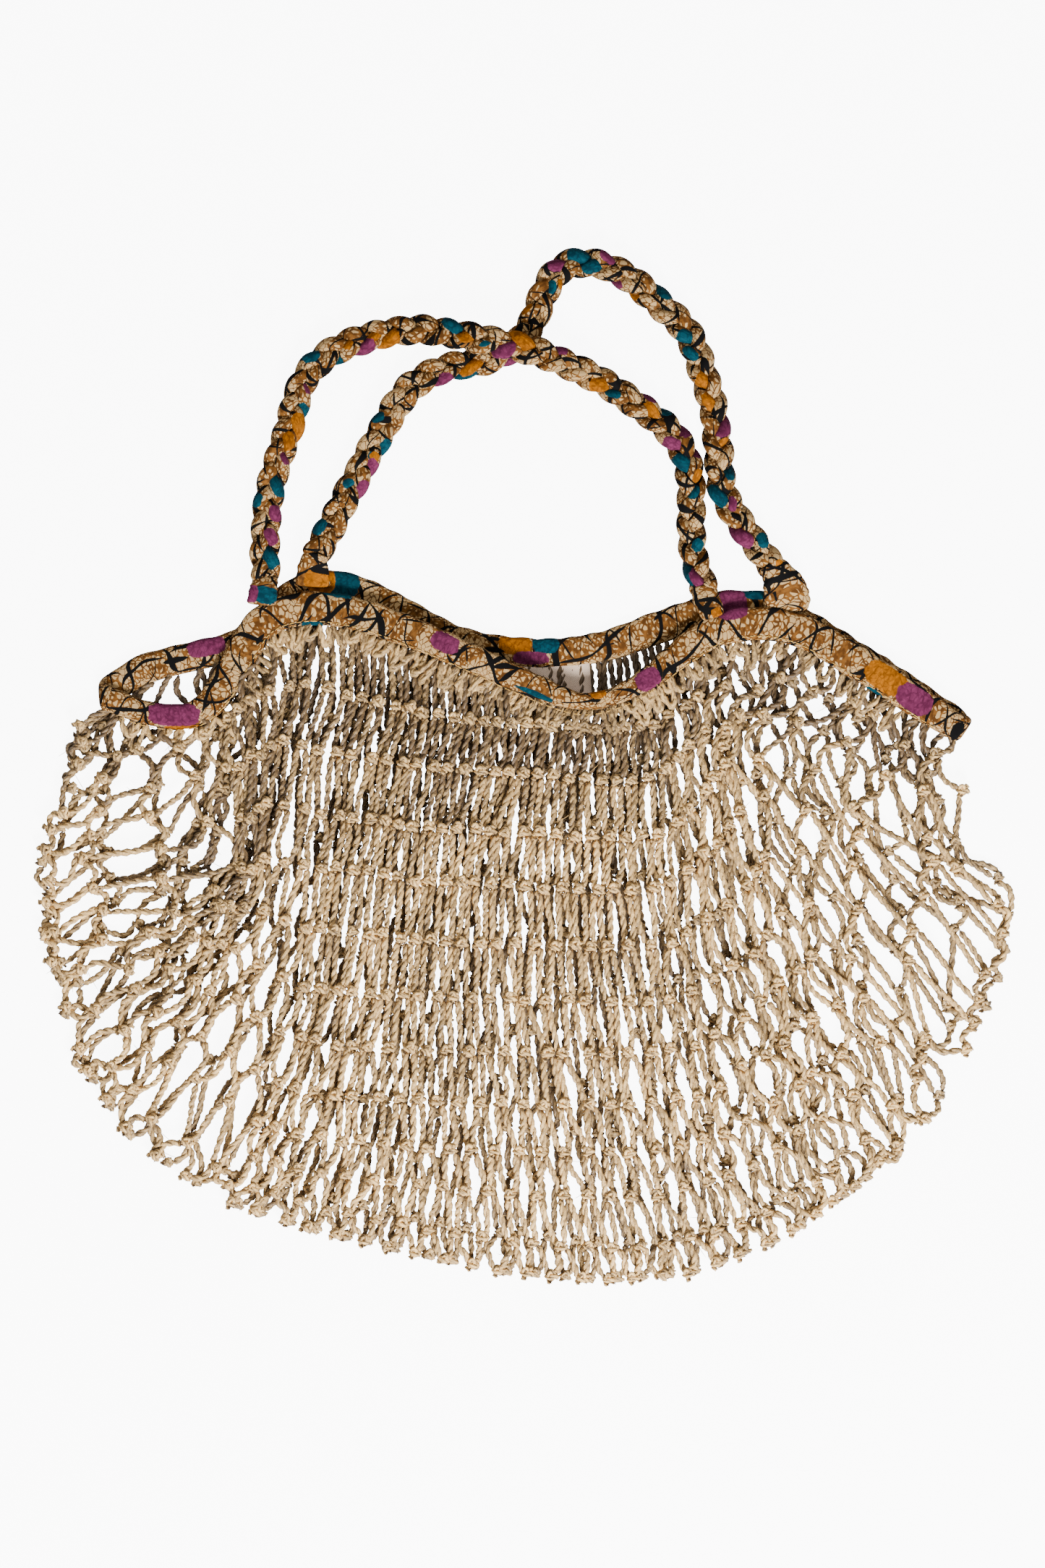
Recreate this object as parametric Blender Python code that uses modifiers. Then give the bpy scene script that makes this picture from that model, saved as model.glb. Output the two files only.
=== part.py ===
"""A net shopping bag of knotted jute twine, lying flat with its mouth and handles spread.

Two net panels are tied together along their rim. A padded cloth band binds the mouth, and two
plaited handles end in cloth tabs on it. +Z is up, +Y runs from the net to the handles.
"""

import math
from collections import namedtuple

import bmesh
import bpy
import numpy as np
from mathutils import Matrix, Vector
from mathutils.geometry import interpolate_bezier

MM = 0.001

# The photograph looks straight down. One of its pixels is this much of the bag,
# and the middle pixel lies over the origin.
PIXEL = 0.33 * MM
MIDDLE_X_PX = 725.15
MIDDLE_Y_PX = 1057.08

# Points this close are one point.
SEAM = 0.001 * MM

# Mouth band: a folded cotton strip, wadded by the net's gathered top.
BAND_WIDE = 16 * MM
BAND_THICK = 4.2 * MM
BAND_FLAT = 12 * MM
BAND_EDGE = 1.8 * MM
BAND_STEP = 9 * MM
BAND_TIP_STEPS = 4
PUCKER_LONG = 31 * MM
PUCKER_DEEP = 0.14

# Net: diamond meshes, at twice the pitch of the real ones.
TWINE_THICK = 2.6 * MM
STRAND_WIDE = 3.8 * MM
NET_COLUMNS = 24
NET_ROWS = 3
NET_FROM_BAND = 0.8 * MM
NET_FROM_TIP = 0.015
NET_DOME = 6 * MM
SMALLEST_GAP = 2 * MM

# Handles: three round cloth strands in a plait.
STRAND_RADIUS = 3.1 * MM
PLAIT_SWING = 3.55 * MM
PLAIT_RISE = 2.2 * MM
PLAIT_CORE = 2.2 * MM
PLAIT_PERIOD = 33 * MM
PLAIT_STEPS_PER_PERIOD = 12
PLAIT_SIDES = 8

LABEL_THICK = 1.0 * MM
LABEL_WIDE = 37 * MM

Bend = namedtuple("Bend", "x_px y_px height_mm")
Column = namedtuple("Column", "across upper_x_px upper_y_px lower_x_px lower_y_px rim_x_px rim_y_px")
Wrap = namedtuple("Wrap", "x_px y_px wide_mm low_mm high_mm")

# The band's middle line, from the left tip to the right one. The front strand lies over the
# back strand at the left, and again all along the right.
FRONT_STRAND = (
    Bend(150, 966, 6.7),
    Bend(205, 986, 6.7),
    Bend(262, 990, 6.7),
    Bend(300, 962, 6.7),
    Bend(332, 908, 6.7),
    Bend(366, 860, 6.7),
    Bend(420, 842, 7.0),
    Bend(490, 849, 8.5),
    Bend(570, 876, 10.5),
    Bend(650, 908, 12.0),
    Bend(720, 941, 12.2),
    Bend(800, 962, 12.2),
    Bend(870, 946, 12.0),
    Bend(930, 902, 10.0),
    Bend(990, 873, 7.6),
    Bend(1050, 862, 6.7),
    Bend(1110, 874, 6.7),
    Bend(1180, 914, 6.7),
    Bend(1255, 962, 6.7),
    Bend(1325, 1008, 6.7),
)
BACK_STRAND = (
    Bend(150, 955, 2.1),
    Bend(200, 925, 2.1),
    Bend(270, 906, 2.1),
    Bend(330, 890, 2.1),
    Bend(378, 848, 2.1),
    Bend(430, 812, 2.1),
    Bend(490, 818, 2.1),
    Bend(550, 845, 2.1),
    Bend(620, 882, 2.1),
    Bend(700, 901, 2.1),
    Bend(780, 902, 2.1),
    Bend(850, 889, 2.1),
    Bend(930, 861, 2.1),
    Bend(1000, 841, 2.1),
    Bend(1060, 842, 2.1),
    Bend(1120, 870, 2.1),
    Bend(1190, 913, 2.1),
    Bend(1260, 957, 2.1),
    Bend(1325, 1000, 2.1),
)

# How the front panel's columns of meshes run from the band to the rim. Across is the share
# of the way along the band. At the left they crowd into a fold and fan out below it.
FRONT_COLUMNS = (
    Column(0.00, 132, 1006, 118, 1018, 104, 1030),
    Column(0.06, 165, 1080, 100, 1140, 57, 1185),
    Column(0.12, 255, 1112, 150, 1240, 75, 1345),
    Column(0.18, 318, 1122, 235, 1340, 150, 1520),
    Column(0.25, 362, 1132, 320, 1400, 280, 1635),
    Column(0.32, 440, 1150, 415, 1430, 405, 1690),
    Column(0.40, 555, 1170, 540, 1450, 550, 1724),
    Column(0.48, 665, 1190, 670, 1470, 695, 1762),
    Column(0.56, 780, 1210, 805, 1480, 845, 1772),
    Column(0.64, 890, 1200, 935, 1470, 995, 1748),
    Column(0.72, 985, 1160, 1050, 1430, 1125, 1690),
    Column(0.80, 1080, 1110, 1155, 1350, 1228, 1602),
    Column(0.86, 1180, 1080, 1232, 1290, 1305, 1512),
    Column(0.92, 1265, 1080, 1308, 1220, 1352, 1372),
    Column(0.96, 1305, 1080, 1350, 1170, 1388, 1262),
    Column(1.00, 1312, 1050, 1324, 1082, 1337, 1114),
)
RIM_HEIGHT = 4.5 * MM

# The handles' middle lines, foot to foot. The front handle climbs over the back one.
FRONT_HANDLE = (
    Bend(368, 792, 6.6),
    Bend(367, 755, 5.8),
    Bend(370, 700, 4.9),
    Bend(382, 645, 4.9),
    Bend(402, 585, 4.9),
    Bend(418, 530, 4.9),
    Bend(452, 492, 4.9),
    Bend(503, 469, 4.9),
    Bend(560, 457, 6.5),
    Bend(620, 463, 11.5),
    Bend(672, 474, 15.0),
    Bend(725, 486, 15.4),
    Bend(775, 503, 12.0),
    Bend(830, 527, 6.5),
    Bend(880, 560, 4.9),
    Bend(930, 600, 4.9),
    Bend(953, 650, 4.9),
    Bend(956, 705, 4.9),
    Bend(957, 755, 5.8),
    Bend(970, 806, 8.4),
)
BACK_HANDLE = (
    Bend(440, 762, 6.6),
    Bend(461, 722, 5.6),
    Bend(493, 660, 4.9),
    Bend(528, 598, 4.9),
    Bend(564, 540, 4.9),
    Bend(612, 511, 4.9),
    Bend(668, 499, 4.9),
    Bend(712, 478, 4.9),
    Bend(738, 443, 4.9),
    Bend(754, 401, 4.9),
    Bend(777, 371, 4.9),
    Bend(815, 363, 4.9),
    Bend(861, 379, 4.9),
    Bend(910, 418, 4.9),
    Bend(952, 462, 4.9),
    Bend(974, 520, 4.9),
    Bend(988, 575, 4.9),
    Bend(994, 630, 4.9),
    Bend(1001, 684, 4.9),
    Bend(1030, 732, 4.9),
    Bend(1062, 776, 6.8),
)

# Each tab runs from its plait's end, down over the band's edge and flat onto the band.
TABS = {
    "tab_front_left": (
        Wrap(368, 796, 11.0, 1.0, 10.6),
        Wrap(367, 805, 11.5, 1.6, 12.4),
        Wrap(366, 814, 13.0, 4.6, 12.6),
        Wrap(364, 824, 13.4, 9.2, 12.2),
        Wrap(363, 838, 13.6, 9.2, 11.4),
    ),
    "tab_back_left": (
        Wrap(439, 765, 11.0, 1.4, 11.6),
        Wrap(436, 774, 12.5, 1.6, 11.4),
        Wrap(434, 782, 14.5, 4.6, 10.4),
        Wrap(433, 796, 16.0, 4.6, 8.6),
        Wrap(432, 812, 17.0, 4.6, 7.4),
    ),
    "tab_front_right": (
        Wrap(971, 809, 11.0, 4.6, 13.4),
        Wrap(973, 818, 12.0, 4.6, 13.6),
        Wrap(976, 830, 12.6, 4.8, 14.0),
        Wrap(981, 842, 12.0, 10.6, 14.0),
        Wrap(986, 856, 10.0, 11.2, 13.4),
    ),
    "tab_back_right": (
        Wrap(1063, 778, 11.0, 1.6, 11.8),
        Wrap(1071, 789, 14.0, 1.8, 11.6),
        Wrap(1079, 802, 18.0, 4.6, 10.8),
        Wrap(1085, 818, 21.0, 4.6, 9.2),
        Wrap(1087, 831, 22.0, 4.7, 7.8),
    ),
}

# The label is a tape sewn under the back strand, and it curls up a little at its free end.
LABEL = (
    Bend(760, 931, 3.6),
    Bend(762, 948, 3.6),
    Bend(764, 970, 3.8),
    Bend(765, 990, 4.2),
)


def clear_scene():
    for obj in list(bpy.data.objects):
        bpy.data.objects.remove(obj)


def paint(name, colour, roughness):
    material = bpy.data.materials.new(name)
    material.use_nodes = True
    shader = material.node_tree.nodes["Principled BSDF"]
    shader.inputs["Base Color"].default_value = (*colour, 1)
    shader.inputs["Roughness"].default_value = roughness
    shader.inputs["Metallic"].default_value = 0
    return material


def at(x_px, y_px, height=0.0):
    return Vector(((x_px - MIDDLE_X_PX) * PIXEL, (MIDDLE_Y_PX - y_px) * PIXEL, height))


def bend_points(bends):
    return [at(bend.x_px, bend.y_px, bend.height_mm * MM) for bend in bends]


class Line:
    """A smooth line through points, read by the share of its length."""

    def __init__(self, points):
        first = points[0] * 2 - points[1]
        last = points[-1] * 2 - points[-2]
        knots = [first, *points, last]
        fine = [points[0]]
        for before, start, end, after in zip(knots, knots[1:], knots[2:], knots[3:]):
            leaving = start + (end - before) / 6
            arriving = end - (after - start) / 6
            fine += interpolate_bezier(start, leaving, arriving, end, 13)[1:]
        self.points = np.array([tuple(point) for point in fine])
        steps = np.linalg.norm(np.diff(self.points, axis=0), axis=1)
        self.reached = np.concatenate([[0], np.cumsum(steps)])
        self.length = self.reached[-1]

    def point(self, share):
        there = share * self.length
        return Vector([np.interp(there, self.reached, column) for column in self.points.T])

    def heading(self, share):
        """The line's direction, level with the ground."""
        step = 0.004
        ahead = self.point(min(share + step, 1)) - self.point(max(share - step, 0))
        return Vector((ahead.x, ahead.y, 0)).normalized()

    def left_side(self, share):
        heading = self.heading(share)
        return Vector((-heading.y, heading.x, 0))


def finished(name, bm, material):
    mesh = bpy.data.meshes.new(name)
    bm.to_mesh(mesh)
    bm.free()
    mesh.materials.append(material)
    obj = bpy.data.objects.new(name, mesh)
    bag_collection.objects.link(obj)
    return obj


def wrapped(name, steps, sides, place, material, is_ring=False):
    """A sheet of steps by sides quads rolled into a skin. place(along, side) gives each point."""
    bm = bmesh.new()
    bmesh.ops.create_grid(bm, x_segments=steps, y_segments=sides, size=0.5)
    for vert in bm.verts:
        along = vert.co.x + 0.5
        side = round((vert.co.y + 0.5) * sides) % sides
        vert.co = place(along, side)
    bmesh.ops.remove_doubles(bm, verts=bm.verts, dist=SEAM)
    if not is_ring:
        ends = [edge for edge in bm.edges if edge.is_boundary]
        bmesh.ops.holes_fill(bm, edges=ends, sides=0)
    bmesh.ops.recalc_face_normals(bm, faces=bm.faces)
    obj = finished(name, bm, material)
    obj.data.shade_smooth()
    obj.data.set_sharp_from_angle(angle=math.radians(50))
    return obj


def rounded_section(wide, thick, flat, edge):
    """Eight corners of a flat strip with rounded edges, as (aside, above)."""
    return (
        (flat / 2, -thick / 2),
        (wide / 2, -edge / 2),
        (wide / 2, edge / 2),
        (flat / 2, thick / 2),
        (-flat / 2, thick / 2),
        (-wide / 2, edge / 2),
        (-wide / 2, -edge / 2),
        (-flat / 2, -thick / 2),
    )


def strand_stations(line, outward_up, puckers):
    """Where the band's section stands along one strand: middle, width axis, thickness axis."""
    count = round(line.length / BAND_STEP)
    stations = []
    for step in range(count + 1):
        share = step / count
        wave = math.sin(share * line.length / PUCKER_LONG * math.tau)
        swell = 1 - puckers * (0.5 + 0.5 * wave) * math.sin(share * math.pi)
        stations.append((line.point(share), line.left_side(share), outward_up, swell))
    return stations


def tip_stations(leaving, arriving, outward):
    """The band's fold round one tip of the mouth, from one strand's end to the other's."""
    start, start_side, start_up, _ = leaving
    end, end_side, _, _ = arriving
    radius = abs(start.z - end.z) / 2
    stations = []
    for step in range(1, BAND_TIP_STEPS):
        share = step / BAND_TIP_STEPS
        turn = share * math.pi
        up = start_up * math.cos(turn) + outward * math.sin(turn)
        middle = start.lerp(end, share)
        middle.z = (start.z + end.z) / 2 + start_up.z * radius * math.cos(turn)
        middle += outward * radius * math.sin(turn)
        side = start_side.lerp(end_side, share).normalized()
        stations.append((middle, side, up, 1.0))
    return stations


def band_stations():
    up = Vector((0, 0, 1))
    front = strand_stations(front_line, up, PUCKER_DEEP)
    back = strand_stations(back_line, -up, 0)[::-1]
    right = (front_line.heading(1) + back_line.heading(1)).normalized()
    left = -(front_line.heading(0) + back_line.heading(0)).normalized()
    over_right = tip_stations(front[-1], back[0], right)
    over_left = tip_stations(back[-1], front[0], left)
    return front + over_right + back + over_left


def make_band(material):
    stations = band_stations()
    section = rounded_section(BAND_WIDE, BAND_THICK, BAND_FLAT, BAND_EDGE)

    def place(along, side):
        middle, aside, up, swell = stations[round(along * len(stations)) % len(stations)]
        wide, above = section[side]
        return middle + aside * wide + up * (above * swell if above > 0 else above)

    return wrapped("band", len(stations), len(section), place, material, is_ring=True)


def band_edge(line, across):
    """The point on the net's side of the band where a column of meshes starts."""
    share = NET_FROM_TIP + (1 - 2 * NET_FROM_TIP) * across
    away = BAND_WIDE / 2 + NET_FROM_BAND
    return line.point(share) - line.left_side(share) * away


def columns_at(across):
    """The upper, lower and rim points of the front panel's column at this share."""
    table = np.array(FRONT_COLUMNS)
    row = [np.interp(across, table[:, 0], table[:, index]) for index in range(1, 7)]
    return at(row[0], row[1]), at(row[2], row[3]), at(row[4], row[5])


def front_net_point(across, down):
    top = band_edge(front_line, across)
    upper, lower, rim = columns_at(across)
    # The curve through four points at down = 0, 1/3, 2/3 and 1.
    a = (1 - 3 * down) * (2 - 3 * down) * (1 - down) / 2
    b = 9 * down * (2 - 3 * down) * (1 - down) / 2
    c = 9 * down * (3 * down - 1) * (1 - down) / 2
    d = down * (3 * down - 1) * (3 * down - 2) / 2
    point = top * a + upper * b + lower * c + rim * d
    dome = 4 * down * (1 - down) * math.sin(across * math.pi) * NET_DOME
    point.z = top.z + (RIM_HEIGHT - top.z) * down + dome
    return point


def back_net_point(across, down):
    """The back panel lies flat, so its columns run straight from the band to the rim."""
    rim = columns_at(across)[2]
    point = band_edge(back_line, across).lerp(rim, down)
    point.z = TWINE_THICK / 2
    return point


def diamond_sheet():
    """A unit square cut into diamond meshes, with halves of them along its sides."""
    bm = bmesh.new()
    reach = NET_COLUMNS + NET_ROWS
    bmesh.ops.create_grid(bm, x_segments=2 * reach, y_segments=2 * reach, size=reach)
    lean = Matrix(((0.5, 0.5, 0, 0), (-0.5, 0.5, 0, 0), (0, 0, 1, 0), (0, 0, 0, 1)))
    bmesh.ops.transform(bm, matrix=lean, verts=bm.verts)
    sides = (
        ((0, 0, 0), (-1, 0, 0)),
        ((NET_COLUMNS, 0, 0), (1, 0, 0)),
        ((0, 0, 0), (0, -1, 0)),
        ((0, NET_ROWS, 0), (0, 1, 0)),
    )
    for corner, outward in sides:
        everything = [*bm.verts, *bm.edges, *bm.faces]
        bmesh.ops.bisect_plane(
            bm, geom=everything, dist=1e-4, plane_co=corner, plane_no=outward, clear_outer=True
        )
    unit = Matrix.Diagonal((1 / NET_COLUMNS, 1 / NET_ROWS, 1, 1))
    bmesh.ops.transform(bm, matrix=unit, verts=bm.verts)
    return bm


def widest_inside(face):
    """The radius of a circle that fits in a mesh of the net, near enough."""
    return 2 * face.calc_area() / face.calc_perimeter()


def make_net(name, place, material):
    bm = diamond_sheet()
    beside_band = [edge for edge in bm.edges if all(abs(v.co.y) < 1e-4 for v in edge.verts)]
    gathered = {face for edge in beside_band for face in edge.link_faces}
    bmesh.ops.bisect_edges(bm, edges=beside_band, cuts=2)
    for vert in bm.verts:
        vert.co = place(min(max(vert.co.x, 0), 1), min(max(vert.co.y, 0), 1))
    bm.normal_update()
    room = (STRAND_WIDE + SMALLEST_GAP) / 2
    open_meshes = [f for f in bm.faces if f not in gathered and widest_inside(f) > room]
    bmesh.ops.inset_individual(
        bm, faces=open_meshes, thickness=STRAND_WIDE / 2, use_even_offset=True
    )
    bmesh.ops.delete(bm, geom=open_meshes, context="FACES")
    bmesh.ops.recalc_face_normals(bm, faces=bm.faces)
    net = finished(name, bm, material)
    twine = net.modifiers.new("Twine", "SOLIDIFY")
    twine.thickness = TWINE_THICK
    twine.offset = 0
    return net


def plait_reach(turn, angle):
    """How far three plaited strands stand out from the plait's middle in one direction."""
    ray = Vector((math.cos(angle), math.sin(angle)))
    reach = PLAIT_CORE
    for strand in range(3):
        phase = turn + strand * math.tau / 3
        middle = Vector((PLAIT_SWING * math.cos(phase), PLAIT_RISE * math.sin(2 * phase)))
        beside = ray.cross(middle)
        if abs(beside) < STRAND_RADIUS:
            reach = max(reach, ray.dot(middle) + math.sqrt(STRAND_RADIUS**2 - beside**2))
    return reach


def make_handle(name, bends, material):
    line = Line(bend_points(bends))
    steps = round(line.length / PLAIT_PERIOD * PLAIT_STEPS_PER_PERIOD)

    def place(along, side):
        turn = along * steps / PLAIT_STEPS_PER_PERIOD * math.tau
        angle = side / PLAIT_SIDES * math.tau
        reach = plait_reach(turn, angle)
        aside = line.left_side(along) * math.cos(angle)
        above = Vector((0, 0, 1)) * math.sin(angle)
        return line.point(along) + (aside + above) * reach

    return wrapped(name, steps, PLAIT_SIDES, place, material)


def make_tab(name, wraps, material):
    """A cloth tab: its section is a flat strip, of another width and height at each wrap."""
    line = Line([at(wrap.x_px, wrap.y_px) for wrap in wraps])
    last = len(wraps) - 1

    def place(along, side):
        wrap = wraps[round(along * last)]
        middle = at(wrap.x_px, wrap.y_px, (wrap.low_mm + wrap.high_mm) / 2 * MM)
        wide = wrap.wide_mm * MM
        thick = (wrap.high_mm - wrap.low_mm) * MM
        section = rounded_section(wide, thick, wide * 0.6, thick * 0.5)
        aside, above = section[side]
        return middle + line.left_side(along) * aside + Vector((0, 0, above))

    return wrapped(name, last, 8, place, material)


def make_label(material):
    line = Line(bend_points(LABEL))
    section = rounded_section(LABEL_WIDE, LABEL_THICK, LABEL_WIDE - LABEL_THICK, LABEL_THICK / 2)

    def place(along, side):
        aside, above = section[side]
        return line.point(along) + line.left_side(along) * aside + Vector((0, 0, above))

    return wrapped("label", 6, len(section), place, material)


clear_scene()
bag_collection = bpy.data.collections.new("Net bag")
bpy.context.scene.collection.children.link(bag_collection)

jute = paint("Jute twine", (0.58, 0.45, 0.29), 0.9)
jute_shaded = paint("Jute twine, back", (0.42, 0.31, 0.19), 0.9)
printed_cotton = paint("Printed cotton", (0.47, 0.31, 0.15), 0.85)
label_tape = paint("Cotton tape", (0.55, 0.43, 0.35), 0.85)

front_line = Line(bend_points(FRONT_STRAND))
back_line = Line(bend_points(BACK_STRAND))

make_net("front_net", front_net_point, jute)
make_net("back_net", back_net_point, jute_shaded)
make_band(printed_cotton)
make_handle("front_handle", FRONT_HANDLE, printed_cotton)
make_handle("back_handle", BACK_HANDLE, printed_cotton)
for tab_name, tab_wraps in TABS.items():
    make_tab(tab_name, tab_wraps, printed_cotton)
make_label(label_tape)
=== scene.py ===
"""The looks of a knotted jute net bag with a printed cotton mouth band and plaited handles.

Every length is in metres. A place read from the photograph is a pixel, and at() turns it into one.
"""

import math
from collections import namedtuple

import bmesh
import bpy
import numpy as np
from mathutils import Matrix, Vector
from mathutils.geometry import interpolate_bezier


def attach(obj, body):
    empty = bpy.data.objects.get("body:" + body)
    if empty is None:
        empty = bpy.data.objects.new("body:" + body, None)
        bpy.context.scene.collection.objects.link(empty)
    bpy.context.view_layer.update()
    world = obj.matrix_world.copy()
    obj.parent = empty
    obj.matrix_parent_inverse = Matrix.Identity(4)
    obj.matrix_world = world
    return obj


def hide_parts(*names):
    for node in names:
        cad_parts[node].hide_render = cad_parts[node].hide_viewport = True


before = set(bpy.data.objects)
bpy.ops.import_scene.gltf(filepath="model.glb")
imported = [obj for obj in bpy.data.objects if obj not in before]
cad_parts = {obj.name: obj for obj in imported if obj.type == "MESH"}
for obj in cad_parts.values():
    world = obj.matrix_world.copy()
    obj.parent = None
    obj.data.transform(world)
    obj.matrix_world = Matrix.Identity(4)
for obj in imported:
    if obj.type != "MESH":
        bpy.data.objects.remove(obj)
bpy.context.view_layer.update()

MM = 0.001
PIXEL = 0.33 * MM
MIDDLE_X_PX = 725.15
MIDDLE_Y_PX = 1057.08
PHOTO_WIDE_PX = 1445
PHOTO_HIGH_PX = 2168
UP = np.array((0.0, 0.0, 1.0))

# Mouth band: a folded cotton strip, wadded by the net's gathered top.
BAND_WIDE = 16 * MM
BAND_THICK = 4.6 * MM
BAND_STEP = 2.8 * MM
BAND_SIDES = 16
BAND_TIP_STEPS = 10
PUCKER_LONG = 12.5 * MM
PUCKER_HIGH = 0.12
SCALLOP_DEEP = 0.15
SEAM_GROOVE = 0.45 * MM
SEAM_ASIDE = 0.74
CLOTH_CLEAR = 0.02 * MM

# Net: diamond meshes of two-ply twine, at their real pitch.
NET_COLUMNS = 45
NET_ROWS = 12
LEG_LONG = 26 * MM
TWIST_LONG = 8.8 * MM
PLY_RADIUS = 1.08 * MM
PLY_FROM_MIDDLE = 0.66 * MM
HAIR_RADIUS = 0.11 * MM
HAIR_LONG_MM = (3, 8)
HAIR_CLEAR = 0.3 * MM
NET_INTO_BAND = 2 * MM
NET_DOME = 6 * MM
RIM_HEIGHT = 4.5 * MM
BACK_HEIGHT = 2.2 * MM
BACK_ASIDE = 0.25
BACK_SWAY = 13 * MM
FOLD_HEIGHT = 3 * MM
FOLD_COLUMN = 8
FOLD_ROW = 2.5
FLOOR_CLEAR = 2.2 * MM
ROW_STEP = 0.01

# Knots: a turn of twine round each one's neck, and the bight that it holds.
KNOT_HALF = 1.9 * MM
KNOT_NECK = 1.0 * MM
KNOT_TURNS = 1.9
KNOT_TURN_WIDE = 2.2 * MM
KNOT_TURN_HIGH = 1.9 * MM
KNOT_TURN_PITCH = 2.1 * MM
KNOT_LIFT = 0.4 * MM
BIGHT_HALF = 1.9 * MM
BIGHT_HIGH = 1.8 * MM
BIGHT_FOOT = 2.2 * MM
BIGHT_DEEP = 4.8 * MM
KNOT_PLY_RADIUS = 0.9 * MM
KNOT_PLY_FROM_MIDDLE = 0.52 * MM

# How far knots stray, as shares of their panel's wander, and how they bunch in clumps.
STRAY_ASIDE = 0.9
STRAY_DOWN = 0.6
STRAY_UP_MM = (-0.6, 0.9)
LOOSE_AT_BAND = 0.35
LOOSE_IN_MIDDLE = 0.8
LOOSE_AT_SIDES = 2.6
BUNCHING = 0.5
STEADY_BUNCHING = 0.7
BUNCH_HALVES = 9

# Legs of twine between knots: their direction at a knot, and how slack ones bow.
AIM_DOWN = 0.7
AIM_ALONG = 0.5
AIM_REACH = 0.36
LEG_SPREAD = (0.9, 1.04)
BOW_SHARE = 0.6
BOW_MOST = 4.5 * MM
BOW_UP = (0.1, 0.6)
LEG_WAVE_MM = 0.4
LEG_LIFT_MM = (-2.0, 0.6)

# Small loops that hang from the band. They are larger at the left, in the band's open lobe.
LOOP_STRAY = 0.006
LOOP_REACH = (0.004, 0.014)
LOOP_DEEP_MM = (6, 15)
LOOP_DEEPER_MM = 3
LOOP_SWING_MM = (-1.5, 3)
LOOP_PULL = 1.33
LOBE_COLUMNS = 5

# Painted shade: how much browner twine is painted where shade falls. Knots catch the light, so painted
# light makes them paler.
PAINTED_SHADE_AT_BAND = 1.5
PAINTED_SHADE_IN_FOLD = 1.6
PAINTED_SHADE_BEHIND = 1.1
PAINTED_SHADE_ON_LOOPS = 0.2
KNOT_SHADE = 0.6
KNOT_PAINTED_LIGHT = 0.8

# Handles: three cloth strands in a plait.
STRAND_RADIUS = 3.4 * MM
PLAIT_SWING = 3.95 * MM
PLAIT_RISE = 2.7 * MM
PLAIT_PERIOD = 33 * MM
PLAIT_STEPS_PER_PERIOD = 16
STRAND_SIDES = 12
STRAND_LONGER = 1.25
STRAND_FLAT = 0.93
STRAND_AROUND = 21 * MM
CREASE_DEEP = 0.2 * MM
CLOTH_FOLD_DEEP = 0.28 * MM

# Tabs, label and stitches. A tab closes in at both ends, to these shares of its size.
TAB_SIDES = 16
TAB_SAMPLES = 5
TAB_FIRST_END = 0.82
TAB_LAST_END = 0.74
LABEL_THICK = 0.45 * MM
LABEL_WIDE = 37 * MM
LABEL_CURL = 0.9 * MM
LABEL_WAVE = 0.35 * MM
STITCH_PITCH = 4 * MM
STITCH_LONG = 2.8 * MM
THREAD_RADIUS = 0.24 * MM
SAME_POINT = 0.001 * MM

# Print: a crackle of gold in a pale ground, crossed by black strokes.
CRACKLE_CELL = 2.0 * MM
CRACKLE_SWAY = 3.2 * MM
CRACK_LEAST = 0.06
CRACK_SPREAD = 0.17
STROKE_BEND = 1.9
STROKE_LEAST = 0.39
STROKE_WIDE = 4.6 * MM
STROKE_EDGE = 0.15 * MM

# How bright the floor and the studio look to the camera, and how much light the studio gives.
FLOOR_GLOW = 9.0
STUDIO_GLOW = 8.73
STUDIO_LIGHT = 0.27
CAMERA_HIGH = 1.6

# Rows of the tables. A wrinkle's and a stroke's spacing is in metres, and a turn is in radians.
Bend = namedtuple("Bend", "x_px y_px height_mm")
Wrap = namedtuple("Wrap", "x_px y_px wide_mm low_mm high_mm")
Width = namedtuple("Width", "x_px wide_px")
Stop = namedtuple("Stop", "row x_px y_px")
Patch = namedtuple("Patch", "colour x_px y_px long_mm wide_mm")
NetPiece = namedtuple("NetPiece", "name first_half after_half")
Wrinkle = namedtuple("Wrinkle", "apart slant deep")
Stroke = namedtuple("Stroke", "turn apart aside")
Dip = namedtuple("Dip", "share rise_mm")
Jute = namedtuple("Jute", "pale dark hollow")
Dye = namedtuple("Dye", "deep light")

# Colours, most of them in a deep and a light shade that the patterns mix.
FRONT_JUTE = Jute((0.97, 0.61, 0.225), (0.11, 0.062, 0.022), (0.08, 0.043, 0.015))
# The back net's jute is a darker copy of the front's, painted shade for the net that lies behind.
SHADED_BACK_JUTE = Jute((0.66, 0.42, 0.16), (0.1, 0.057, 0.021), (0.07, 0.038, 0.014))
PALE_GROUND = (0.44, 0.28, 0.12)
GOLD = Dye((0.07, 0.025, 0.004), (0.16, 0.062, 0.011))
BLACK_INK = (0.0022, 0.002, 0.0022)
DYES = {
    "teal": Dye((0.0005, 0.019, 0.03), (0.003, 0.048, 0.068)),
    "yellow": Dye((0.14, 0.04, 0.0), (0.34, 0.105, 0.0)),
    "purple": Dye((0.066, 0.007, 0.029), (0.138, 0.022, 0.066)),
}
INKS = (*DYES, "black")
TAPE_THREADS = Dye((0.58, 0.42, 0.31), (0.92, 0.7, 0.53))
TAPE_STAINS = (0.5, 0.35, 0.24)
GOLD_THREAD = Dye((0.34, 0.17, 0.02), (0.68, 0.40, 0.06))

PRINT_STROKES = (Stroke(0.5, 9 * MM, 0.3), Stroke(1.2, 11 * MM, 5.1), Stroke(2.55, 9.5 * MM, 7.7))
BAND_WRINKLES = (Wrinkle(5.5 * MM, 0.7, 0.13), Wrinkle(3.8 * MM, -0.9, 0.09))
STITCH_SHAPE = (Dip(0, -0.25), Dip(0.12, 0.1), Dip(0.5, 0.2), Dip(0.88, 0.1), Dip(1, -0.25))

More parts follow.
